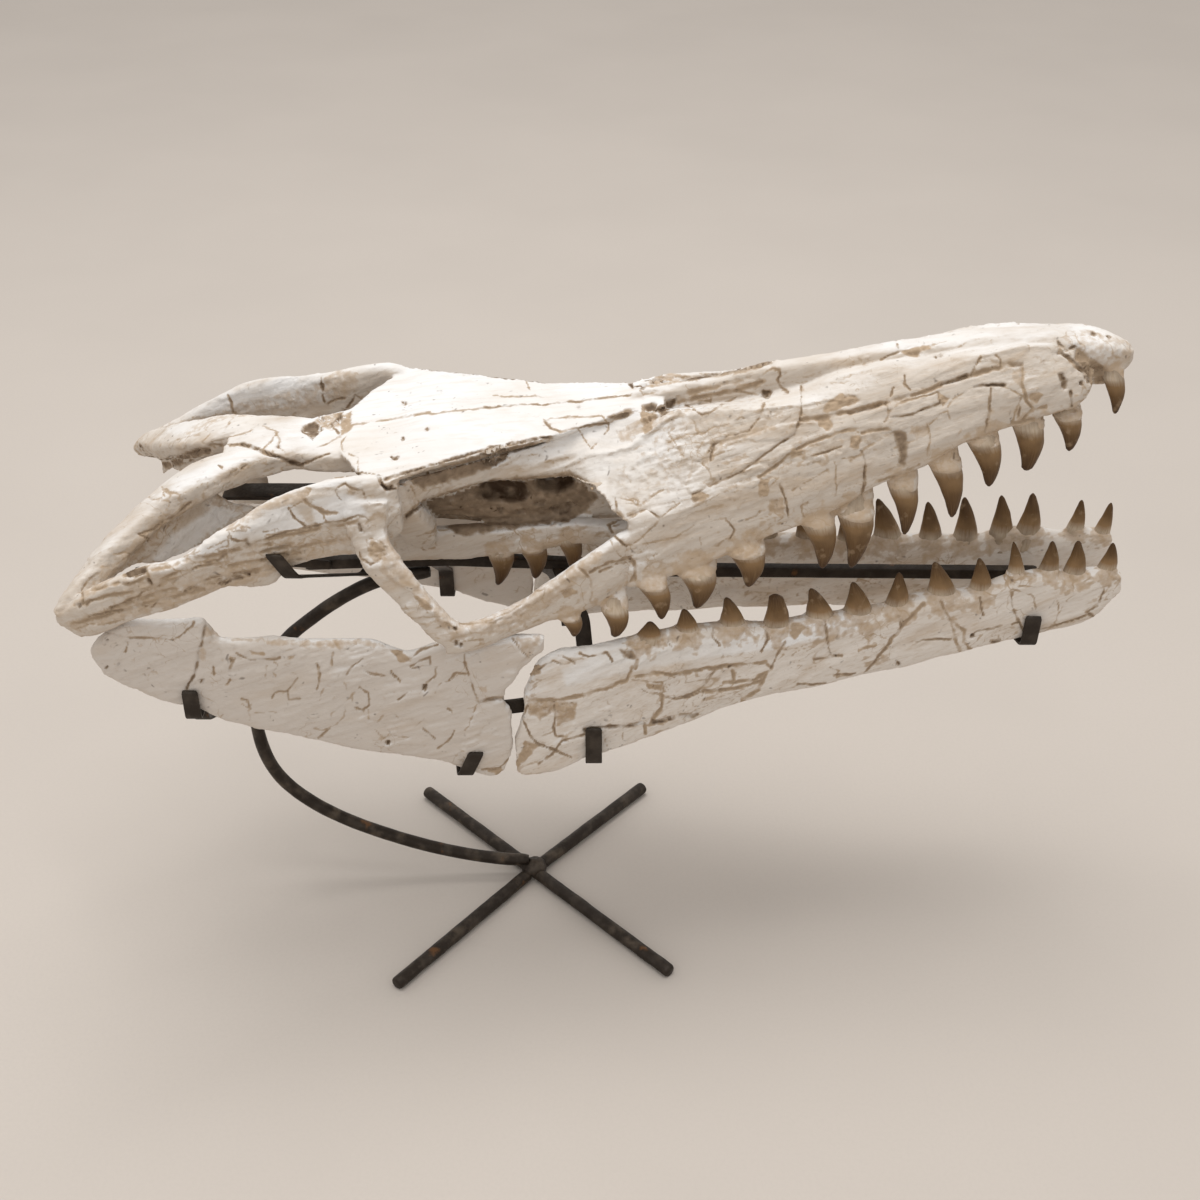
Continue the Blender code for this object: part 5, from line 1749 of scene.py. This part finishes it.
    def build(self, bone: Material, enamel: Material) -> None:
        """Makes the skull and its teeth.

        Args:
            bone: Material of the bone.
            enamel: Material of the teeth.
        """
        lofts = self.lofts()
        for row in self.teeth():
            lofts += row.collars()
            row.build(enamel)
        cuts = [(x, side.value * -y, *rest) for x, y, *rest in self.hollows for side in Side]
        weathering_and_shade = WeatheringAndShade(CRANIUM_MARKS, CRANIUM_PATCHES, seed=3)
        sockets = [(*tooth[:3], tooth[5]) for row in self.teeth() for tooth in row.rows]
        skull = Bone(
            "skull_bone", lofts, weathering_and_shade, ("cranium",), voxel=1.45, triangles=392000,
            cuts=cuts, sockets=sockets, halves=True,
        )
        skull.build(bone)


@dataclass
class LowerJaw:
    """The four loose bones of the lower jaw, with the lower teeth."""

    dentary: tuple = (
        (502, -35, 420, 401, 11), (492, -36, 426, 387, 18), (478, -37, 427, 370, 22),
        (450, -39, 424, 362, 24), (424, -41, 427, 355, 25), (392, -45, 424, 348, 25),
        (360, -49, 412, 342, 25), (321, -54, 410, 334, 25), (278, -60, 402, 326, 26),
        (242, -67, 398, 321, 26), (206, -74, 398, 316, 26), (164, -81, 394, 310, 26),
        (122, -91, 399, 303, 26), (79, -102, 402, 291, 26), (28, -115, 400, 278, 24),
        (-6, -123, 395, 271, 22), (-35, -130, 397, 261, 20), (-54, -134, 389, 257, 18),
        (-68, -136, 362, 255, 16), (-74, -137, 322, 255, 14), (-81, -138, 299, 258, 12),
    )
    right_teeth: tuple = (
        (487, -36, 424, 488, 456, 20), (456, -38, 420, 454, 459, 24),
        (430, -40, 425, 429, 460, 21), (399, -44, 424, 391, 462, 18),
        (366, -48, 408, 360, 446, 24), (328, -53, 407, 317, 445, 30),
        (284, -59, 397, 283, 437, 25), (247, -66, 393, 239, 431, 30),
        (210, -73, 394, 199, 428, 30), (167, -81, 389, 165, 426, 27),
        (125, -90, 396, 118, 429, 27), (81, -102, 398, 78, 424, 25),
        (44, -111, 396, 46, 416, 26),
    )
    left_teeth: tuple = (
        (500, 35, 422, 506, 456, 18), (474, 37, 426, 477, 458, 19),
        (428, 41, 418, 429, 463, 27), (403, 44, 415, 399, 459, 26),
        (369, 49, 408, 364, 454, 27), (335, 54, 404, 329, 446, 26),
        (293, 60, 403, 280, 446, 31), (256, 67, 395, 248, 431, 28),
        (214, 74, 394, 204, 430, 28), (172, 81, 389, 167, 426, 27),
        (130, 90, 395, 123, 429, 27), (86, 102, 397, 83, 424, 25),
        (49, 111, 395, 50, 415, 26),
    )
    rear_slab: tuple = (
        (-461, -153, 413, 406, 8), (-453, -153, 425, 387, 12), (-440, -153, 436, 374, 15),
        (-426, -153, 444, 367, 16), (-398, -153, 444, 352, 18), (-374, -152, 444, 345, 18),
        (-357, -152, 444, 335, 18), (-344, -151, 424, 329, 18), (-299, -150, 422, 316, 18),
        (-255, -149, 420, 302, 18), (-208, -147, 419, 289, 17), (-176, -146, 405, 283, 17),
        (-146, -145, 416, 276, 17), (-124, -144, 417, 266, 16), (-106, -143, 419, 258, 15),
        (-97, -143, 417, 260, 13), (-90, -142, 410, 272, 9),
    )
    rear_prong: tuple = (
        (-112, -143, 418, 340, 15), (-84, -142, 421, 368, 14), (-70, -142, 421, 386, 12),
        (-51, -142, 420, 404, 9),
    )
    left_rear: tuple = (
        (-430, 152, 396, 372, 9), (-410, 152, 399, 352, 14), (-372, 152, 396, 330, 17),
        (-344, 151, 394, 312, 18), (-299, 150, 392, 305, 18), (-255, 149, 396, 300, 18),
        (-208, 147, 404, 294, 17), (-167, 146, 410, 288, 17), (-146, 145, 414, 279, 17),
        (-112, 143, 418, 268, 16), (-90, 142, 416, 263, 15), (-74, 141, 400, 266, 12),
    )
    rear_heel: tuple = (
        (-112, -143, 350, 264, 15), (-92, -142, 345, 266, 14), (-83, -142, 334, 290, 10),
    )
    left_forward: float = 10.0
    collar: tuple = (
        (-0.6, 0.42, 0.5, 0.0), (-0.3, 0.55, 0.62, 0.0), (-0.1, 0.56, 0.76, 0.0),
        (0.03, 0.51, 0.84, 0.0), (0.12, 0.45, 0.84, 0.0),
    )

    def build(
        self, bone: Material, smooth: Material, enamel: Material,
    ) -> None:
        """Makes the four bones and the two rows of teeth.

        Args:
            bone: Material of the tooth-bearing bones.
            smooth: Material of the plain rear bones.
            enamel: Material of the teeth.
        """
        upright = {
            "collar": self.collar, "slim": 0.9, "bow": 0.06, "tuck": 0.0, "narrowing": 0.0,
            "pale_base": 0.14,
        }
        right = Teeth("lower_teeth_right", self.right_teeth, blunt={9: 0.35}, **upright)
        left = Teeth("lower_teeth_left", self.left_teeth, **upright)
        forward = tuple((x + self.left_forward, -y, *rest) for x, y, *rest in self.dentary)
        rear = [Lofts.blade(rows) for rows in (self.rear_slab, self.rear_prong, self.rear_heel)]
        plain = WeatheringAndShade(seed=21)
        bones = (
            Bone(
                "dentary_right", [Lofts.blade(self.dentary)] + right.collars(),
                WeatheringAndShade(DENTARY_MARKS, DENTARY_PATCHES, False, seed=11), ("right_dentary",),
                sockets=[(*row[:3], row[5]) for row in self.right_teeth],
            ),
            Bone(
                "dentary_left", [Lofts.blade(forward)] + left.collars(), plain, ("left_dentary",),
                voxel=2.2, triangles=80000,
                sockets=[(*row[:3], row[5]) for row in self.left_teeth],
            ),
            Bone(
                "rear_jaw_right", rear,
                WeatheringAndShade(
                    REAR_JAW_MARKS, REAR_JAW_PATCHES, False, flake_lift=0.6, flake_tan=0.2,
                    strength=0.75, seed=14,
                ),
                ("right_rear_jaw",), triangles=140000,
            ),
            Bone(
                "rear_jaw_left", [Lofts.blade(self.left_rear)],
                WeatheringAndShade(flake_lift=0.6, flake_tan=0.25, seed=24), ("left_rear_jaw",),
                voxel=2.2, triangles=60000,
            ),
        )
        for jaw in bones:
            jaw.build(smooth if jaw.name.startswith("rear") else bone)
        right.build(enamel)
        left.build(enamel)


@dataclass
class Stand:
    """The iron stand: a cross of round bars, a curved post, a square bar and bent straps."""

    post_path: tuple = (
        (-79, 22), (-104, 22.8), (-142, 29), (-186, 41), (-231, 58), (-276, 80), (-311, 104),
        (-338, 132), (-353, 162), (-360, 200), (-358, 240), (-343, 284), (-316, 321),
        (-287, 347), (-259, 368), (-227, 386), (-196, 395.5), (-168, 399.3),
    )
    bar_radius: float = 7.15
    post_radius: float = 6.95
    crossing: tuple = (-74.0, 0.0)
    long_bar: tuple = ((-205.0, 136.0), (73.0, -156.0))
    arms: tuple = (("foot_arm_far", (51.0, 144.0)), ("foot_arm_near", (-210.0, -174.0)))
    arm_gap: float = 9.8
    spine_path: tuple = (
        (-290, 409.5), (-215, 412.5), (-150, 414.5), (-59, 411), (60, 402), (432, 398.6),
    )
    spine_side: float = 10.8
    strap: tuple = (16.0, 3.0)
    bend: float = 7.0
    bar_dent: float = 0.25
    post_dent: float = 0.2
    strap_dent: float = 0.12
    dent_size: tuple = (17.0, 17.0, 17.0)
    weld_size: tuple = (15.0, 12.5, 9.5)
    weld_height: float = 12.0

    def straps(self) -> dict:
        """Path, width, thickness and direction across of each bent strap.

        Returns:
            Those four for each strap, under its node's name.
        """
        wide, thick = self.strap
        level, upright = (1, 0, 0), (0, 0, 1)
        spine = [(x, 0, z) for x, z in self.spine_path]
        found = {
            "spine_bar": (spine, self.spine_side, self.spine_side, (0, 1, 0)),
            "roof_strap": ([(-216, 0, 419.8), (-216, 0, 490), (-360, 0, 490)], 28.0, 4.0, (0, 1, 0)),
            "front_jaw_strap": ([
                (419, -57.5, 384), (418, -57.5, 350), (411, -26, 348.2), (406, -12, 391.4),
                (406, 12, 391.4), (411, 26, 347), (418, 58, 348), (419, 58, 384),
            ], wide, thick, level),
            "claw_right": ([
                (-226, -1, 404.3), (-229, -14, 405.5), (-272, -128, 474.5), (-275, -140, 481),
                (-288, -146, 508),
            ], 15.0, thick, level),
            "strut_right": ([
                (-40, -7.5, 408), (-18, -40, 372), (-8, -104, 300), (-6, -108, 266.2),
                (-6, -137, 266.2), (-6, -139, 311),
            ], wide, thick, level),
            "strut_left": ([
                (-68, 7.5, 408), (-46, 40, 372), (-36, 112, 300), (-34, 117, 255),
                (-34, 144, 255), (-34, 145, 298),
            ], wide, thick, level),
            "jaw_link_right": (
                [(-30, -113, 328), (-79, -126, 328), (-112, -129, 326)], wide, thick, upright,
            ),
            "front_hook_right": ([
                (-124, -131.5, 336), (-132, -133, 265.4), (-129, -154.5, 265.4), (-117, -154.5, 294),
            ], 15.0, thick, level),
            "rear_hook_right": ([
                (-356, -8.5, 258), (-376, -139, 322), (-376, -141, 340), (-376, -164, 340),
                (-376, -164, 373),
            ], 15.0, thick, level),
            "left_jaw_hook": ([
                (-167, 7, 408), (-167, 134, 318), (-167, 135, 282), (-167, 157, 282), (-167, 158, 308),
            ], wide, thick, level),
        }
        for side, end in ((Side.RIGHT, (-428, 94, 458)), (Side.LEFT, (-400, 84, 441))):
            path = [(x, side.value * y, z) for x, y, z in ((-264, 8, 412), (-300, 12, 418), end)]
            found[f"corner_strap_{side.name.lower()}"] = (path, 10.0, thick, upright)
        return found

    def rounded(self, path: list) -> list:
        """A path with each corner turned into a short bend.

        Args:
            path: Corners of the path.

        Returns:
            Points of the rounded path.
        """
        points = [Vector(point) for point in path]
        found = [points[0]]
        for before, corner, after in zip(points, points[1:], points[2:]):
            into, out = before - corner, after - corner
            reach_in = min(self.bend, 0.4 * into.length)
            reach_out = min(self.bend, 0.4 * out.length)
            start, end = corner + into.normalized() * reach_in, corner + out.normalized() * reach_out
            for step in range(6):
                t = step / 5
                found.append(start * (1 - t) ** 2 + corner * (2 * t * (1 - t)) + end * t**2)
        found.append(points[-1])
        return found

    def spread(self, points: list, step: float) -> list:
        """The same path with points about a step apart.

        Args:
            points: Points of the path.
            step: Distance in millimetres.

        Returns:
            The points.
        """
        found = [points[0]]
        for before, after in zip(points, points[1:]):
            count = max(1, round((after - before).length / step))
            found += [before.lerp(after, k / count) for k in range(1, count + 1)]
        return found

    def strap_rings(self, path: list, wide: float, thick: float, across: tuple) -> list:
        """Rings with rounded corners along a bent path.

        Args:
            path: Corners of the path.
            wide: Width of the strap.
            thick: Its thickness.
            across: Direction of its width.

        Returns:
            The rings.
        """
        points = self.spread(self.rounded(path), 3.0)
        corner = min(1.0, thick * 0.3)
        flat, tall = wide / 2, thick / 2
        outline = []
        for sx, sy in ((1, 1), (-1, 1), (-1, -1), (1, -1)):
            for k in range(4):
                turn = math.pi / 6 * (k if sx == sy else 3 - k)
                outline.append((
                    sx * (flat - corner + corner * math.cos(turn)),
                    sy * (tall - corner + corner * math.sin(turn)),
                ))
        rings = []
        last = len(points) - 1
        for i, point in enumerate(points):
            along = (points[min(i + 1, last)] - points[max(i - 1, 0)]).normalized()
            side = Vector(across).normalized()
            over = along.cross(side).normalized()
            draw = 0.86 if i in (0, last) else 1.0
            rings.append([tuple(point + side * (a * draw) + over * (b * draw)) for a, b in outline])
        return rings

    def tube_rings(self, points: list, radius: float, sides: int = 28) -> list:
        """Rings round a path, with its ends drawn in a little.

        Args:
            points: Points of the path.
            radius: Radius of the bar.
            sides: Points of a ring.

        Returns:
            The rings.
        """
        rings = []
        last = len(points) - 1
        ends = {0: 0.72, 1: 0.9, 2: 0.98}
        for i, point in enumerate(points):
            along = (points[min(i + 1, last)] - points[max(i - 1, 0)]).normalized()
            side = along.cross(Vector((0, 0, 1))).normalized()
            over = side.cross(along)
            thin = ends.get(min(i, last - i), 1.0)
            ring = []
            for k in range(sides):
                turn = 2 * math.pi * k / sides
                reach = side * math.cos(turn) + over * math.sin(turn)
                ring.append(tuple(point + reach * (radius * thin)))
            rings.append(ring)
        return rings

    def bar_points(self, start: Vector, end: Vector, step: float = 3.0) -> list:
        """Points along a straight bar, closer together at its ends.

        Args:
            start: One end.
            end: The other end.
            step: Distance between points.

        Returns:
            The points.
        """
        along = (end - start).normalized()
        inner = self.spread([start + along * 2.2, end - along * 2.2], step)
        return [start, start + along * 0.9] + inner + [end - along * 0.9, end]

    def made(self, name: str, rings: list, material: Material, dent: float) -> None:
        """Makes one iron piece with a slightly uneven skin.

        Args:
            name: Node that the piece stands for.
            rings: Its rings of points.
            material: Iron.
            dent: Depth of its unevenness.
        """
        bm = bmesh.new()
        Lofts.skin(bm, rings)
        piece = MeshWork.placed(f"iron_{name}", bm)
        mesh = piece.data
        points, normals = MeshWork.points(mesh), MeshWork.points(mesh, "normal")
        lift = dent * Grain.fractal(points, self.dent_size, 31, 3) - dent * 0.6
        MeshWork.set_points(mesh, points + normals * lift[:, None])
        MeshWork.finish(piece, Slot.IRON, (name,), material)

    def build_weld(self, material: Material) -> None:
        """Makes the lumpy weld over the crossing.

        Args:
            material: Iron.
        """
        bm = bmesh.new()
        bmesh.ops.create_icosphere(bm, subdivisions=4, radius=1.0)
        piece = MeshWork.placed("iron_foot_weld", bm)
        unit = MeshWork.points(piece.data)
        lump = 1 + 0.13 * Grain.fractal(unit, (0.5, 0.5, 0.5), 5, 2)
        places = unit * lump[:, None] * self.weld_size + (*self.crossing, self.weld_height)
        MeshWork.set_points(piece.data, places)
        MeshWork.finish(piece, Slot.IRON, ("foot_weld",), material)

    def build(self, worn: Material, dark: Material) -> None:
        """Makes the whole stand.

        Args:
            worn: Iron of the foot, rubbed and a little rusty.
            dark: Iron of the straps and the bar.
        """
        level = self.bar_radius
        middle = Vector((*self.crossing, level))
        start, end = (Vector((*place, level)) for place in self.long_bar)
        bars = [("foot_bar_long", start, end)]
        for name, place in self.arms:
            tip = Vector((*place, level))
            bars.append((name, middle + (tip - middle).normalized() * self.arm_gap, tip))
        for name, root, tip in bars:
            rings = self.tube_rings(self.bar_points(root, tip), self.bar_radius)
            self.made(name, rings, worn, self.bar_dent)
        self.build_weld(worn)
        path = Lofts.smooth_rows([(x, 0.0, z) for x, z in self.post_path], 4.0)
        rings = self.tube_rings([Vector(p) for p in path], self.post_radius)
        self.made("curved_post", rings, worn, self.post_dent)
        for name, (line, wide, thick, across) in self.straps().items():
            self.made(name, self.strap_rings(line, wide, thick, across), dark, self.strap_dent)


@dataclass
class Studio:
    """Pale floor, soft light and the camera."""

    floor_side: float = 24.0
    key_side: float = 2.3
    key_power: float = 84.0
    key_place: tuple = (-0.25, 0.35, 4.0)
    key_aim: tuple = (0.0, 0.0, 0.3)
    fill_side: float = 2.2
    fill_power: float = 6.0
    fill_place: tuple = (-1.6, -2.6, 1.7)
    fill_aim: tuple = (0.0, 0.0, 0.4)
    lamp_colour: tuple = (1.0, 0.985, 0.965)
    air: tuple = (0.895, 0.868, 0.845)
    air_strength: float = 0.82
    paper: tuple = (0.58, 0.532, 0.485)
    paper_shade: float = 0.93
    paper_cloud: float = 2.2
    paper_grain: float = 260.0

    def build(self) -> None:
        """Sets up floor, lights, air and camera."""
        self.build_floor()
        self.build_lights()
        self.build_camera()

    def build_floor(self) -> None:
        """A wide floor of pale paper."""
        bm = bmesh.new()
        half = self.floor_side / 2
        corners = ((-half, -half), (half, -half), (half, half), (-half, half))
        bm.faces.new([bm.verts.new((x, y, 0.0)) for x, y in corners])
        floor = MeshWork.placed("floor", bm)
        n = Nodes("floor_paper")
        where = n.spot()
        cloud = n.noise(where, self.paper_cloud, 5.0)
        grain = n.noise(where, self.paper_grain, 3.0)
        darker = tuple(self.paper_shade * part for part in self.paper)
        colour = n.mix(n.steps(cloud, (0.35, 0.0), (0.65, 0.5)), self.paper, darker)
        colour = n.mix(n.steps(grain, (0.4, 0.0), (0.7, 0.35)), colour, darker)
        n.feed(n.shader.inputs["Base Color"], colour)
        n.shader.inputs["Roughness"].default_value = 0.95
        n.shader.inputs["Specular IOR Level"].default_value = 0.1
        floor.data.materials.append(n.material)

    def light(self, name: str, place: tuple, aim: tuple, side: float, power: float) -> None:
        """Adds a square soft light.

        Args:
            name: Its name.
            place: Where it hangs.
            aim: Point that it looks at.
            side: Length of its side.
            power: Power in watts.
        """
        lamp = bpy.data.lights.new(name, "AREA")
        lamp.size = side
        lamp.energy = power
        lamp.color = self.lamp_colour
        holder = bpy.data.objects.new(name, lamp)
        holder.location = place
        holder.rotation_euler = (Vector(aim) - Vector(place)).to_track_quat("-Z", "Y").to_euler()
        bpy.context.scene.collection.objects.link(holder)

    def build_lights(self) -> None:
        """Key light overhead, a weak fill from the camera's side, and even air."""
        self.light("key", self.key_place, self.key_aim, self.key_side, self.key_power)
        self.light("fill", self.fill_place, self.fill_aim, self.fill_side, self.fill_power)
        world = bpy.data.worlds.new("air")
        bpy.context.scene.world = world
        world.use_nodes = True
        air = world.node_tree.nodes["Background"]
        air.inputs[0].default_value = (*self.air, 1.0)
        air.inputs[1].default_value = self.air_strength

    def build_camera(self) -> None:
        """Camera at the photographed angle."""
        lens = bpy.data.cameras.new("camera")
        lens.lens = SIGHT.lens
        lens.sensor_width = SIGHT.film
        camera = bpy.data.objects.new("camera", lens)
        camera.location = (SIGHT.place() + Vector(SHIFT)) * MM
        camera.rotation_euler = (math.pi / 2 - SIGHT.tilt, 0.0, 0.0)
        bpy.context.scene.collection.objects.link(camera)
        bpy.context.scene.camera = camera


def main() -> None:
    """Builds the skull, the jaw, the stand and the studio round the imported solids."""
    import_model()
    bpy.context.scene.view_settings.view_transform = "Standard"
    # The side colours given here are painted shade on faces that turn away from above.
    skull_bone = BoneFinish(painted_side_shade=(0.585, 0.52, 0.45)).material("skull_bone")
    jaw_bone = BoneFinish().material("jaw_bone")
    smooth = BoneFinish(painted_side_shade=(0.61, 0.555, 0.5), stained=0.22, threaded=0.1).material("smooth_bone")
    enamel = EnamelFinish().material("tooth_enamel")
    worn = IronFinish().material("worn_iron")
    dark = IronFinish(wear=0.22).material("dark_iron")
    Cranium().build(skull_bone, enamel)
    LowerJaw().build(jaw_bone, smooth, enamel)
    Stand().build(worn, dark)
    Studio().build()


if __name__ == "__main__":
    main()
